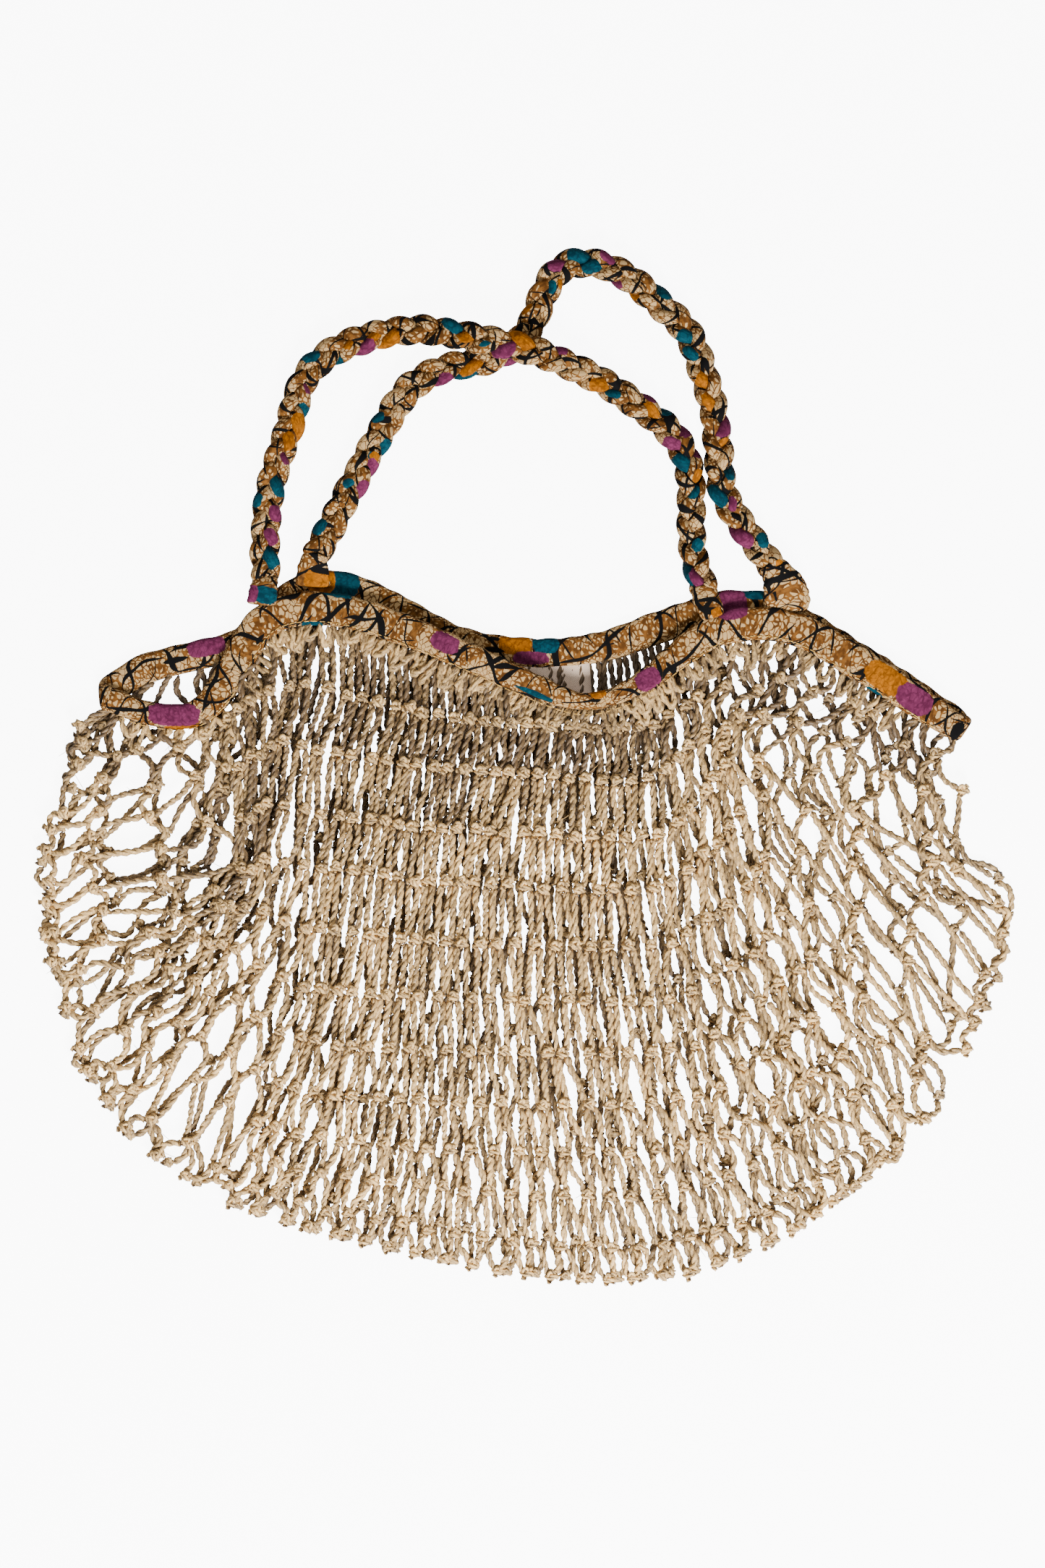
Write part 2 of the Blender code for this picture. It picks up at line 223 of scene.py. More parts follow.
# The nets' pieces side by side. Each holds the knots from one half column up to the next piece's.
FRONT_PIECES = (
    NetPiece("front_net_left", 0, 27),
    NetPiece("front_net_mid_left", 27, 43),
    NetPiece("front_net_mid_right", 43, 60),
    NetPiece("front_net_right", 60, 2 * NET_COLUMNS + 1),
)
BACK_PIECES = (
    NetPiece("back_net_left", 0, 43),
    NetPiece("back_net_right", 43, 2 * NET_COLUMNS + 1),
)

# The band's middle line, from the left tip to the right one.
FRONT_STRAND = (
    Bend(150, 966, 6.7),
    Bend(205, 986, 6.7),
    Bend(262, 990, 6.7),
    Bend(300, 962, 6.7),
    Bend(332, 908, 6.7),
    Bend(366, 860, 6.7),
    Bend(420, 842, 7.0),
    Bend(490, 849, 8.5),
    Bend(570, 876, 10.5),
    Bend(650, 910, 12.0),
    Bend(720, 942, 12.2),
    Bend(798, 970, 12.2),
    Bend(850, 962, 12.0),
    Bend(893, 940, 11.2),
    Bend(935, 908, 10.0),
    Bend(990, 873, 7.6),
    Bend(1050, 862, 6.7),
    Bend(1110, 874, 6.7),
    Bend(1180, 914, 6.7),
    Bend(1255, 962, 6.7),
    Bend(1325, 1008, 6.7),
)
BACK_STRAND = (
    Bend(150, 955, 2.3),
    Bend(200, 925, 2.3),
    Bend(270, 906, 2.3),
    Bend(330, 890, 2.3),
    Bend(378, 848, 2.3),
    Bend(430, 812, 2.3),
    Bend(490, 818, 2.3),
    Bend(550, 845, 2.3),
    Bend(620, 882, 2.3),
    Bend(700, 901, 2.3),
    Bend(780, 902, 2.3),
    Bend(850, 889, 2.3),
    Bend(930, 861, 2.3),
    Bend(1000, 841, 2.3),
    Bend(1060, 842, 2.3),
    Bend(1120, 870, 2.3),
    Bend(1190, 913, 2.3),
    Bend(1260, 957, 2.3),
    Bend(1325, 1000, 2.3),
)

# How wide each strand of the band shows from above, where it is pinched or folded over.
FRONT_WIDTHS = (
    Width(150, 34), Width(205, 33), Width(262, 36), Width(310, 44), Width(366, 48), Width(490, 46),
    Width(590, 42), Width(690, 38), Width(750, 34), Width(798, 24), Width(840, 25), Width(893, 30),
    Width(940, 40), Width(1010, 48), Width(1180, 46), Width(1270, 44), Width(1325, 36),
)
BACK_WIDTHS = (
    Width(150, 40), Width(200, 42), Width(280, 42), Width(350, 44), Width(430, 48), Width(620, 44),
    Width(760, 42), Width(900, 44), Width(1000, 48), Width(1200, 46), Width(1325, 38),
)

# Which column of knots each part of the next table stands for: the net lies densest in the middle.
PARTS = (0, 9, 18, 39, 48)
COLUMNS_OF_PARTS = (0, 5, 12.5, 37, NET_COLUMNS)

# How the front panel's columns of knots fall from the band to the rim. A column's first stop is
# where it leaves the band, and its last one is its rim knot. At the left they crowd into a fold
# and fan out below it, and at the right a slack bundle of them is drawn over to the middle.
FRONT_FALLS = {
    0: (Stop(0, 156, 978), Stop(1.5, 111, 1007)),
    3: (Stop(0, 178, 995), Stop(1.2, 150, 1048), Stop(3.6, 72, 1125)),
    6: (Stop(0, 240, 1005), Stop(1, 232, 1045), Stop(2.5, 196, 1105), Stop(4.2, 136, 1168),
        Stop(6.2, 59, 1236)),
    9: (Stop(0, 300, 980), Stop(1, 318, 1000), Stop(2, 318, 1062), Stop(3, 324, 1130), Stop(4, 328, 1195),
        Stop(5.6, 255, 1240), Stop(7.6, 165, 1285), Stop(9.6, 71, 1332)),
    12: (Stop(0, 342, 925), Stop(1, 352, 965), Stop(2, 347, 1050), Stop(3, 345, 1130), Stop(4, 338, 1207),
         Stop(5.8, 282, 1292), Stop(8.1, 200, 1390), Stop(10.5, 118, 1480)),
    15: (Stop(0, 402, 868), Stop(1, 408, 945), Stop(2, 388, 1026), Stop(3, 378, 1110), Stop(4, 367, 1190),
         Stop(6.3, 322, 1333), Stop(9, 250, 1478), Stop(11.3, 190, 1582)),
    18: (Stop(0, 482, 872), Stop(1, 480, 962), Stop(2, 457, 1042), Stop(3, 445, 1128), Stop(4, 436, 1200),
         Stop(6, 408, 1362), Stop(9, 355, 1550), Stop(11.5, 304, 1658)),
    21: (Stop(0, 560, 898), Stop(1, 556, 980), Stop(2, 535, 1054), Stop(3, 520, 1135), Stop(4, 510, 1205),
         Stop(6, 488, 1372), Stop(9, 454, 1574), Stop(12, 426, 1698)),
    24: (Stop(0, 632, 926), Stop(1, 627, 992), Stop(2, 608, 1062), Stop(3, 593, 1146), Stop(4, 582, 1216),
         Stop(6, 570, 1377), Stop(9, 562, 1583), Stop(12, 556, 1729)),
    27: (Stop(0, 702, 956), Stop(1, 697, 1000), Stop(2, 681, 1068), Stop(3, 668, 1150), Stop(4, 657, 1220),
         Stop(6, 653, 1379), Stop(9, 668, 1590), Stop(12, 690, 1757)),
    30: (Stop(0, 770, 976), Stop(1, 766, 1006), Stop(2, 755, 1073), Stop(3, 745, 1154), Stop(4, 737, 1227),
         Stop(6, 743, 1382), Stop(9, 780, 1594), Stop(12, 823, 1770)),
    33: (Stop(0, 840, 974), Stop(1, 836, 1010), Stop(2, 831, 1080), Stop(3, 828, 1159), Stop(4, 825, 1233),
         Stop(6, 840, 1386), Stop(9, 890, 1592), Stop(12, 955, 1761)),
    36: (Stop(0, 902, 950), Stop(1, 903, 1004), Stop(2, 908, 1076), Stop(3, 909, 1155), Stop(4, 912, 1228),
         Stop(6, 942, 1380), Stop(9, 1002, 1570), Stop(12, 1080, 1712)),
    39: (Stop(0, 985, 900), Stop(1, 982, 955), Stop(2, 976, 1012), Stop(3, 985, 1088), Stop(4, 996, 1165),
         Stop(6, 1042, 1315), Stop(9, 1116, 1490), Stop(12, 1190, 1637)),
    42: (Stop(0, 1102, 894), Stop(1, 1090, 945), Stop(2, 1036, 985), Stop(3, 992, 1030),
         Stop(4, 1035, 1105), Stop(6, 1098, 1240), Stop(8, 1178, 1380), Stop(11, 1275, 1548)),
    44: (Stop(0, 1180, 936), Stop(1, 1178, 968), Stop(2, 1128, 1005), Stop(3, 1122, 1062),
         Stop(4, 1145, 1125), Stop(6, 1215, 1265), Stop(9, 1332, 1458)),
    46: (Stop(0, 1250, 982), Stop(1, 1236, 1020), Stop(2, 1225, 1085), Stop(3.3, 1270, 1170),
         Stop(6, 1378, 1325)),
    47: (Stop(0, 1288, 1005), Stop(1, 1282, 1040), Stop(2, 1300, 1100), Stop(4, 1388, 1235)),
    48: (Stop(0, 1322, 1025), Stop(1, 1310, 1055), Stop(2.5, 1310, 1122)),
}

FRONT_HANDLE = (
    Bend(368, 802, 7.6),
    Bend(367, 755, 5.8),
    Bend(370, 700, 5.4),
    Bend(382, 645, 5.4),
    Bend(402, 585, 5.4),
    Bend(418, 530, 5.4),
    Bend(452, 492, 5.4),
    Bend(503, 469, 5.4),
    Bend(560, 457, 7.0),
    Bend(620, 463, 11.5),
    Bend(672, 474, 15.0),
    Bend(725, 486, 15.4),
    Bend(775, 503, 12.0),
    Bend(830, 527, 6.8),
    Bend(880, 560, 5.4),
    Bend(930, 600, 5.4),
    Bend(953, 650, 5.4),
    Bend(956, 705, 5.4),
    Bend(957, 755, 5.8),
    Bend(972, 818, 9.2),
)
BACK_HANDLE = (
    Bend(436, 772, 6.6),
    Bend(461, 722, 5.6),
    Bend(493, 660, 5.4),
    Bend(528, 598, 5.4),
    Bend(564, 540, 5.4),
    Bend(612, 511, 5.4),
    Bend(668, 499, 5.4),
    Bend(712, 478, 5.4),
    Bend(738, 443, 5.4),
    Bend(754, 401, 5.4),
    Bend(777, 371, 5.4),
    Bend(815, 363, 5.4),
    Bend(861, 379, 5.4),
    Bend(910, 418, 5.4),
    Bend(952, 462, 5.4),
    Bend(974, 520, 5.4),
    Bend(988, 575, 5.4),
    Bend(994, 630, 5.4),
    Bend(1001, 684, 5.4),
    Bend(1030, 732, 5.4),
    Bend(1069, 787, 6.8),
)

# Each tab runs from its plait's end, down over the band's edge and flat onto the band.
TABS = {
    "tab_front_left": (
        Wrap(368, 796, 11.0, 1.0, 10.6),
        Wrap(367, 805, 11.5, 1.6, 12.4),
        Wrap(366, 814, 13.0, 4.6, 12.6),
        Wrap(364, 824, 13.4, 9.2, 12.2),
        Wrap(363, 838, 13.6, 9.2, 11.4),
    ),
    "tab_back_left": (
        Wrap(439, 765, 11.0, 1.4, 11.6),
        Wrap(436, 774, 12.5, 1.6, 11.4),
        Wrap(434, 782, 14.5, 4.6, 10.4),
        Wrap(433, 796, 16.0, 4.6, 8.6),
        Wrap(432, 812, 17.0, 4.6, 7.4),
    ),
    "tab_front_right": (
        Wrap(971, 809, 11.0, 4.6, 13.4),
        Wrap(973, 818, 12.0, 4.6, 13.6),
        Wrap(976, 830, 12.6, 4.8, 14.0),
        Wrap(981, 842, 12.0, 10.6, 14.0),
        Wrap(986, 856, 10.0, 11.2, 13.4),
    ),
    "tab_back_right": (
        Wrap(1063, 778, 11.0, 1.6, 11.8),
        Wrap(1071, 789, 14.0, 1.8, 11.6),
        Wrap(1079, 802, 18.0, 4.6, 10.8),
        Wrap(1085, 818, 21.0, 4.6, 9.2),
        Wrap(1090, 834, 21.0, 4.0, 7.6),
        Wrap(1092, 848, 17.0, 3.0, 6.4),
    ),
}

LABEL = (
    Bend(759, 918, 3.4),
    Bend(762, 948, 3.6),
    Bend(764, 970, 3.8),
    Bend(765, 990, 4.2),
)

# The print's larger patches of colour, where they show from above.
BAND_PATCHES = (
    Patch("purple", 285, 894, 18, 9),
    Patch("black", 242, 911, 13, 3),
    Patch("purple", 242, 988, 24, 11),
    Patch("yellow", 250, 1008, 26, 3),
    Patch("black", 303, 950, 28, 2.2),
    Patch("black", 360, 884, 7, 2.5),
    Patch("teal", 432, 864, 10, 2.5),
    Patch("yellow", 444, 803, 13, 13),
    Patch("teal", 470, 806, 18, 14),
    Patch("purple", 616, 890, 14, 9),
    Patch("teal", 738, 960, 20, 2.2),
    Patch("yellow", 827, 960, 7, 5),
    Patch("black", 824, 971, 6, 2),
    Patch("purple", 895, 940, 12, 10),
    Patch("black", 928, 926, 3, 9),
    Patch("teal", 984, 906, 7, 3),
    Patch("purple", 1011, 836, 15, 14),
    Patch("teal", 1044, 817, 13, 7),
    Patch("purple", 734, 910, 18, 6),
    Patch("yellow", 712, 892, 16, 9),
    Patch("teal", 754, 892, 13, 8),
    Patch("black", 684, 897, 10, 2.2),
    Patch("black", 842, 888, 14, 2.2),
    Patch("yellow", 1224, 939, 22, 12),
    Patch("purple", 1263, 967, 18, 12),
    Patch("teal", 1208, 957, 9, 2),
    Patch("black", 1306, 990, 12, 2.5),
    Patch("black", 1322, 1010, 5, 10),
)
FRONT_HANDLE_PATCHES = (
    Patch("teal", 372, 769, 13, 9),
    Patch("purple", 376, 743, 9, 6),
    Patch("purple", 382, 711, 8, 6),
    Patch("teal", 355, 692, 6, 5),
    Patch("teal", 388, 669, 13, 9),
    Patch("purple", 397, 632, 7, 5),
    Patch("yellow", 396, 611, 9, 8),
    Patch("yellow", 416, 592, 10, 8),
    Patch("teal", 419, 570, 6, 5),
    Patch("purple", 426, 536, 6, 3),
    Patch("teal", 466, 502, 6, 5),
    Patch("teal", 431, 494, 9, 6),
    Patch("yellow", 481, 477, 5, 5),
    Patch("purple", 504, 481, 8, 5),
    Patch("yellow", 514, 464, 9, 8),
    Patch("yellow", 534, 470, 9, 8),
    Patch("teal", 627, 452, 11, 7),
    Patch("yellow", 649, 464, 11, 8),
    Patch("teal", 671, 481, 7, 3),
    Patch("purple", 696, 486, 9, 8),
    Patch("yellow", 728, 480, 16, 10),
    Patch("purple", 776, 487, 6, 4),
    Patch("yellow", 833, 536, 10, 7),
    Patch("teal", 847, 546, 7, 4),
    Patch("purple", 901, 548, 6, 4),
    Patch("yellow", 898, 571, 10, 8),
    Patch("teal", 916, 566, 9, 5),
    Patch("purple", 942, 591, 11, 8),
    Patch("purple", 930, 616, 9, 6),
    Patch("purple", 963, 622, 7, 5),
    Patch("teal", 944, 644, 11, 8),
    Patch("yellow", 966, 660, 6, 5),
    Patch("teal", 958, 681, 7, 6),
    Patch("teal", 964, 755, 6, 5),
    Patch("yellow", 937, 777, 7, 4),
    Patch("teal", 946, 796, 8, 6),
    Patch("purple", 972, 803, 14, 9),
)
BACK_HANDLE_PATCHES = (
    Patch("teal", 442, 729, 7, 5),
    Patch("teal", 482, 669, 6, 5),
    Patch("purple", 500, 678, 8, 4),
    Patch("purple", 512, 649, 8, 6),
    Patch("yellow", 519, 634, 6, 5),
    Patch("teal", 515, 632, 5, 4),
    Patch("teal", 534, 621, 6, 5),
    Patch("teal", 523, 578, 7, 5),
    Patch("purple", 612, 530, 9, 6),
    Patch("yellow", 650, 506, 13, 9),
    Patch("teal", 645, 521, 8, 4),
    Patch("purple", 702, 501, 8, 5),
    Patch("yellow", 728, 429, 6, 3),
    Patch("teal", 764, 399, 6, 4),
    Patch("yellow", 775, 395, 5, 3),
    Patch("purple", 772, 366, 10, 7),
    Patch("teal", 801, 356, 12, 8),
    Patch("teal", 821, 366, 12, 8),
    Patch("purple", 841, 356, 9, 6),
    Patch("purple", 849, 391, 7, 4),
    Patch("yellow", 875, 407, 6, 4),
    Patch("teal", 916, 399, 10, 6),
    Patch("teal", 951, 471, 10, 7),
    Patch("teal", 954, 490, 9, 5),
    Patch("yellow", 978, 529, 10, 8),
    Patch("yellow", 985, 555, 10, 8),
    Patch("purple", 999, 588, 9, 7),
    Patch("yellow", 999, 621, 8, 5),
    Patch("teal", 1008, 653, 7, 4),
    Patch("teal", 989, 688, 12, 9),
    Patch("purple", 1011, 698, 8, 5),
    Patch("black", 1023, 717, 9, 3),
    Patch("purple", 1023, 745, 11, 8),
    Patch("teal", 1054, 748, 7, 5),
    Patch("yellow", 1077, 784, 6, 4),
)
TAB_PATCHES = {
    "tab_front_left": (Patch("teal", 369, 824, 8, 11), Patch("purple", 349, 822, 8, 6)),
    "tab_back_left": (Patch("yellow", 438, 805, 12, 12), Patch("black", 447, 790, 3, 12)),
    "tab_front_right": (Patch("yellow", 990, 850, 6, 5),),
    "tab_back_right": (
        Patch("black", 1078, 800, 3, 22),
        Patch("black", 1092, 820, 14, 2.5),
        Patch("black", 1064, 818, 14, 2.5),
    ),
}


def at(x_px, y_px, height=0.0):
    return np.array(((x_px - MIDDLE_X_PX) * PIXEL, (MIDDLE_Y_PX - y_px) * PIXEL, height))


def unit(vectors):
    return vectors / np.maximum(np.linalg.norm(vectors, axis=-1, keepdims=True), 1e-9)


def smooth_through(points, samples=12):
    """Points on a smooth curve through these ones, with the same number on each span."""
    points = [Vector(point) for point in points]
    knots = [points[0] * 2 - points[1], *points, points[-1] * 2 - points[-2]]
    fine = [points[0]]
    for before, start, end, after in zip(knots, knots[1:], knots[2:], knots[3:]):
        leaving = start + (end - before) / 6
        arriving = end - (after - start) / 6
        fine += interpolate_bezier(start, leaving, arriving, end, samples + 1)[1:]
    return np.array([tuple(point) for point in fine])


class Line:
    """A smooth line through points, read at shares of its length."""

    def __init__(self, points):
        self.points = smooth_through(points)
        steps = np.linalg.norm(np.diff(self.points, axis=0), axis=1)
        self.reached = np.concatenate([[0], np.cumsum(steps)])
        self.length = self.reached[-1]

    def point(self, shares):
        there = np.asarray(shares, float) * self.length
        return np.stack([np.interp(there, self.reached, column) for column in self.points.T], -1)

    def heading(self, shares):
        """The line's direction, level with the floor."""
        step = 0.004
        shares = np.asarray(shares, float)
        ahead = self.point(np.minimum(shares + step, 1)) - self.point(np.maximum(shares - step, 0))
        return unit(ahead * (1, 1, 0))

    def left_side(self, shares):
        return np.cross(UP, self.heading(shares))

    def across(self, x):
        """The share of a line from left to right at which it passes x."""
        return float(np.interp(x, self.points[:, 0], self.reached)) / self.length

    def nearest(self, x_px, y_px):
        """The share of the line that is nearest to a pixel, seen from above."""
        shares = np.linspace(0, 1, 600)
        away = self.point(shares) - at(x_px, y_px)
        return shares[np.argmin(np.linalg.norm(away[:, :2], axis=1))]


def band_widths(line, shares):
    """How wide the band shows from above at these shares of one of its strands."""
    widths = FRONT_WIDTHS if line is front_line else BACK_WIDTHS
    x_px = line.point(shares)[..., 0] / PIXEL + MIDDLE_X_PX
    return np.interp(x_px, [w.x_px for w in widths], [w.wide_px * PIXEL for w in widths])


def bend_line(bends):
    return Line([at(bend.x_px, bend.y_px, bend.height_mm * MM) for bend in bends])


def linked(name, mesh, material=None):
    obj = bpy.data.objects.new(name, mesh)
    bpy.context.scene.collection.objects.link(obj)
    if material:
        mesh.materials.append(material)
    return obj


# Materials


def new_material(name):
    material = bpy.data.materials.new(name)
    material.use_nodes = True
    return material, material.node_tree.nodes["Principled BSDF"]


def new_group(name, inputs, outputs):
    """An empty node group, with the sockets inside it that give and take its values."""
    group = bpy.data.node_groups.new(name, "ShaderNodeTree")
    for direction, sockets in (("INPUT", inputs), ("OUTPUT", outputs)):
        for socket, kind in sockets.items():
            group.interface.new_socket(socket, in_out=direction, socket_type=f"NodeSocket{kind}")
    given = group.nodes.new("NodeGroupInput").outputs
    result = group.nodes.new("NodeGroupOutput").inputs
    return group, given, result


def add_node(tree, kind, values=None, links=None, **settings):
    """A new node with its settings, its inputs' values and the sockets that feed them."""
    node = tree.nodes.new(kind)
    for name, value in settings.items():
        setattr(node, name, value)
    for name, value in (values or {}).items():
        node.inputs[name].default_value = value
    for name, socket in (links or {}).items():
        tree.links.new(socket, node.inputs[name])
    return node


def place_group(tree, group, values=None, links=None):
    return add_node(tree, "ShaderNodeGroup", values, links, node_tree=group).outputs


def maths(tree, operation, first, second=0.0):
    node = tree.nodes.new("ShaderNodeMath")
    node.operation = operation
    for index, value in enumerate((first, second)):
        if isinstance(value, (int, float)):
            node.inputs[index].default_value = value
        else:
            tree.links.new(value, node.inputs[index])
    return node.outputs[0]


def stretched(tree, place, scale):
    return add_node(
        tree, "ShaderNodeVectorMath", {1: scale}, {0: place}, operation="MULTIPLY"
    ).outputs[0]


def noise(tree, place, size, detail=2.0, roughness=0.5):
    """Noise whose blots are about size metres across."""
    values = {"Scale": 1 / size, "Detail": detail, "Roughness": roughness}
    return add_node(tree, "ShaderNodeTexNoise", values, {"Vector": place}).outputs


def blend_colours(tree, share, first, second):
    node = tree.nodes.new("ShaderNodeMix")
    node.data_type = "RGBA"
    for index, value in ((0, share), (6, first), (7, second)):
        if isinstance(value, float):
            node.inputs[index].default_value = value
        elif isinstance(value, tuple):
            node.inputs[index].default_value = (*value, 1)
        else:
            tree.links.new(value, node.inputs[index])
    return node.outputs[2]


def ramp_between(tree, value, low, high):
    """0 below low, 1 above high, and smooth between them."""
    values = {"From Min": low, "From Max": high}
    return add_node(
        tree, "ShaderNodeMapRange", values, {"Value": value}, interpolation_type="SMOOTHSTEP"
    ).outputs["Result"]


def add_bump(tree, shader, height, strength, distance):
    bump = add_node(
        tree, "ShaderNodeBump", {"Strength": strength, "Distance": distance}, {"Height": height}
    )
    tree.links.new(bump.outputs["Normal"], shader.inputs["Normal"])


def fibre_group():
    """Streaks of fibre along a ply, the fine hairs between them, and where the groove between plies gets
    painted shade.
    """
    group, given, result = new_group(
        "jute fibres",
        {"Fibre": "Vector"},
        {"Streaks": "Float", "Hairs": "Float", "Clear of groove shade": "Float", "Tint": "Float"},
    )
    streaks = noise(group, stretched(group, given["Fibre"], (420, 2.2, 40)), 1, 4, 0.65)["Fac"]
    hairs = noise(group, stretched(group, given["Fibre"], (300, 7, 40)), 1, 3, 0.6)["Fac"]
    parts = add_node(group, "ShaderNodeSeparateXYZ", links={"Vector": given["Fibre"]}).outputs
    group.links.new(ramp_between(group, streaks, 0.38, 0.66), result["Streaks"])
    group.links.new(hairs, result["Hairs"])
    group.links.new(ramp_between(group, parts["Y"], 0.62, 1.3), result["Clear of groove shade"])
    group.links.new(parts["Z"], result["Tint"])
    return group


def jute_material(name, jute):
    """Twine: each length of it is a little paler or browner at random, and so is each patch of the net;
    painted shade and painted light make some parts browner or paler.
    """
    material, shader = new_material(name)
    tree = material.node_tree
    fibre = add_node(tree, "ShaderNodeAttribute", attribute_name="fibre").outputs["Vector"]
    fibres = place_group(tree, jute_fibres, links={"Fibre": fibre})
    place = add_node(tree, "ShaderNodeTexCoord").outputs["Object"]
    patchy = ramp_between(tree, noise(tree, place, 55 * MM)["Fac"], 0.35, 0.62)
    # The tint of each length carries the net's painted shade and the knots' painted light, as well as its
    # own random tone.
    share = maths(tree, "MULTIPLY", fibres["Streaks"], 0.5)
    share = maths(tree, "ADD", share, maths(tree, "MULTIPLY", fibres["Tint"], 0.4))
    share = maths(tree, "ADD", share, maths(tree, "MULTIPLY", patchy, 0.2))
    colour = blend_colours(tree, share, jute.dark, jute.pale)
    # The third jute colour shows in the dark gaps between fibres and as painted shade in the groove
    # between plies.
    fine = ramp_between(tree, fibres["Hairs"], 0.3, 0.5)
    colour = blend_colours(tree, maths(tree, "MULTIPLY", fine, fibres["Clear of groove shade"]), jute.hollow, colour)
    tree.links.new(colour, shader.inputs["Base Color"])
    add_bump(tree, shader, fibres["Hairs"], 0.7, 0.35 * MM)
    shader.inputs["Roughness"].default_value = 0.5
    shader.inputs["Specular IOR Level"].default_value = 0.5
    shader.inputs["Sheen Weight"].default_value = 0.06
    shader.inputs["Sheen Roughness"].default_value = 0.5
    return material


def weave_group():
    """A plain weave: crossing threads, whose pitch is in metres."""
    group, given, result = new_group(
        "plain weave", {"Place": "Vector", "Pitch": "Float"}, {"Height": "Float"}
    )
    parts = add_node(group, "ShaderNodeSeparateXYZ", links={"Vector": given["Place"]}).outputs
    turns = maths(group, "DIVIDE", math.tau, given["Pitch"])
    along = maths(group, "SINE", maths(group, "MULTIPLY", parts["X"], turns))
    across = maths(group, "SINE", maths(group, "MULTIPLY", parts["Y"], turns))
    group.links.new(maths(group, "MULTIPLY", along, across), result["Height"])
    return group


def long_strokes(group, place, stroke):
    """Long strokes in one direction, which bend, cross others, swell and fade out."""
    aside = (stroke.aside, stroke.aside, 0)
    moved = add_node(
        group, "ShaderNodeVectorMath", {1: aside}, {0: place}, operation="ADD"
    ).outputs[0]
    direction = (math.cos(stroke.turn) / stroke.apart, math.sin(stroke.turn) / stroke.apart, 0)
    across = add_node(
        group, "ShaderNodeVectorMath", {1: direction}, {0: moved}, operation="DOT_PRODUCT"
    ).outputs["Value"]
    bend = maths(group, "MULTIPLY", noise(group, moved, 26 * MM, 1)["Fac"], STROKE_BEND)
    off = maths(group, "SUBTRACT", maths(group, "FRACT", maths(group, "ADD", across, bend)), 0.5)
    swell = maths(group, "SUBTRACT", noise(group, moved, 17 * MM, 1)["Fac"], STROKE_LEAST)
    swell = maths(group, "MULTIPLY", swell, STROKE_WIDE / stroke.apart)
    wide = maths(group, "SUBTRACT", swell, maths(group, "ABSOLUTE", off))
    return ramp_between(group, wide, 0.0, STROKE_EDGE / stroke.apart)


def crackle_group():
    """A crackled print: gold cracks in a pale ground, wide here and fine there, and black strokes."""
    group, given, result = new_group(
        "crackled print", {"Place": "Vector"}, {"Pale": "Float", "Strokes": "Float", "Blots": "Float"}
    )
    place = given["Place"]
    sway = noise(group, place, 5 * MM, 2)["Color"]
    wavy = add_node(
        group, "ShaderNodeVectorMath", {1: (CRACKLE_SWAY, CRACKLE_SWAY, 0)}, {0: sway, 2: place},
        operation="MULTIPLY_ADD",
    ).outputs[0]
    cells = add_node(
        group, "ShaderNodeTexVoronoi", {"Scale": 1 / CRACKLE_CELL}, {"Vector": wavy},
        feature="DISTANCE_TO_EDGE",
    ).outputs["Distance"]
    patchy = ramp_between(group, noise(group, place, 9 * MM, 3)["Fac"], 0.4, 0.62)
    reach = maths(group, "ADD", maths(group, "MULTIPLY", patchy, CRACK_SPREAD), CRACK_LEAST)
    pale = ramp_between(group, maths(group, "SUBTRACT", cells, reach), -0.03, 0.03)
    group.links.new(pale, result["Pale"])

    black = 0.0
    for stroke in PRINT_STROKES:
        black = maths(group, "MAXIMUM", long_strokes(group, place, stroke), black)
    group.links.new(black, result["Strokes"])
    group.links.new(noise(group, place, 2.2 * MM, 3)["Fac"], result["Blots"])
    return group


def print_material():
    """Printed cotton. The dyes attribute says how far inside a coloured patch a point is."""
    material, shader = new_material("Printed cotton")
    tree = material.node_tree
    place = add_node(tree, "ShaderNodeUVMap", uv_map="UVMap").outputs["UV"]
    crackle = place_group(tree, crackled_print, links={"Place": place})
    blots = ramp_between(tree, crackle["Blots"], 0.4, 0.62)
    gold = blend_colours(tree, blots, GOLD.deep, GOLD.light)
    colour = blend_colours(tree, crackle["Pale"], gold, PALE_GROUND)
    colour = blend_colours(tree, crackle["Strokes"], colour, BLACK_INK)
    dyes = add_node(tree, "ShaderNodeAttribute", attribute_name="dyes").outputs["Vector"]
    inks = add_node(tree, "ShaderNodeSeparateXYZ", links={"Vector": dyes}).outputs
    ink = add_node(tree, "ShaderNodeAttribute", attribute_name="ink").outputs["Fac"]
    ragged = maths(tree, "MULTIPLY", maths(tree, "SUBTRACT", crackle["Blots"], 0.5), 0.3)
    mottle = maths(tree, "MULTIPLY", maths(tree, "ADD", crackle["Pale"], blots), 0.5)
    for axis, dyed in zip("XYZ", DYES.values()):
        mottled = blend_colours(tree, mottle, dyed.deep, dyed.light)
        inside = ramp_between(tree, maths(tree, "ADD", inks[axis], ragged), -0.02, 0.03)
        colour = blend_colours(tree, inside, colour, mottled)
    inked = ramp_between(tree, maths(tree, "ADD", ink, ragged), -0.03, 0.05)
    colour = blend_colours(tree, inked, colour, BLACK_INK)
    tree.links.new(colour, shader.inputs["Base Color"])
    weave = place_group(tree, plain_weave, {"Pitch": 0.7 * MM}, {"Place": place})
    add_bump(tree, shader, weave["Height"], 0.35, 0.08 * MM)
    shader.inputs["Roughness"].default_value = 0.82
    shader.inputs["Specular IOR Level"].default_value = 0.08
    shader.inputs["Sheen Weight"].default_value = 0.015
    shader.inputs["Sheen Roughness"].default_value = 0.4
    return material


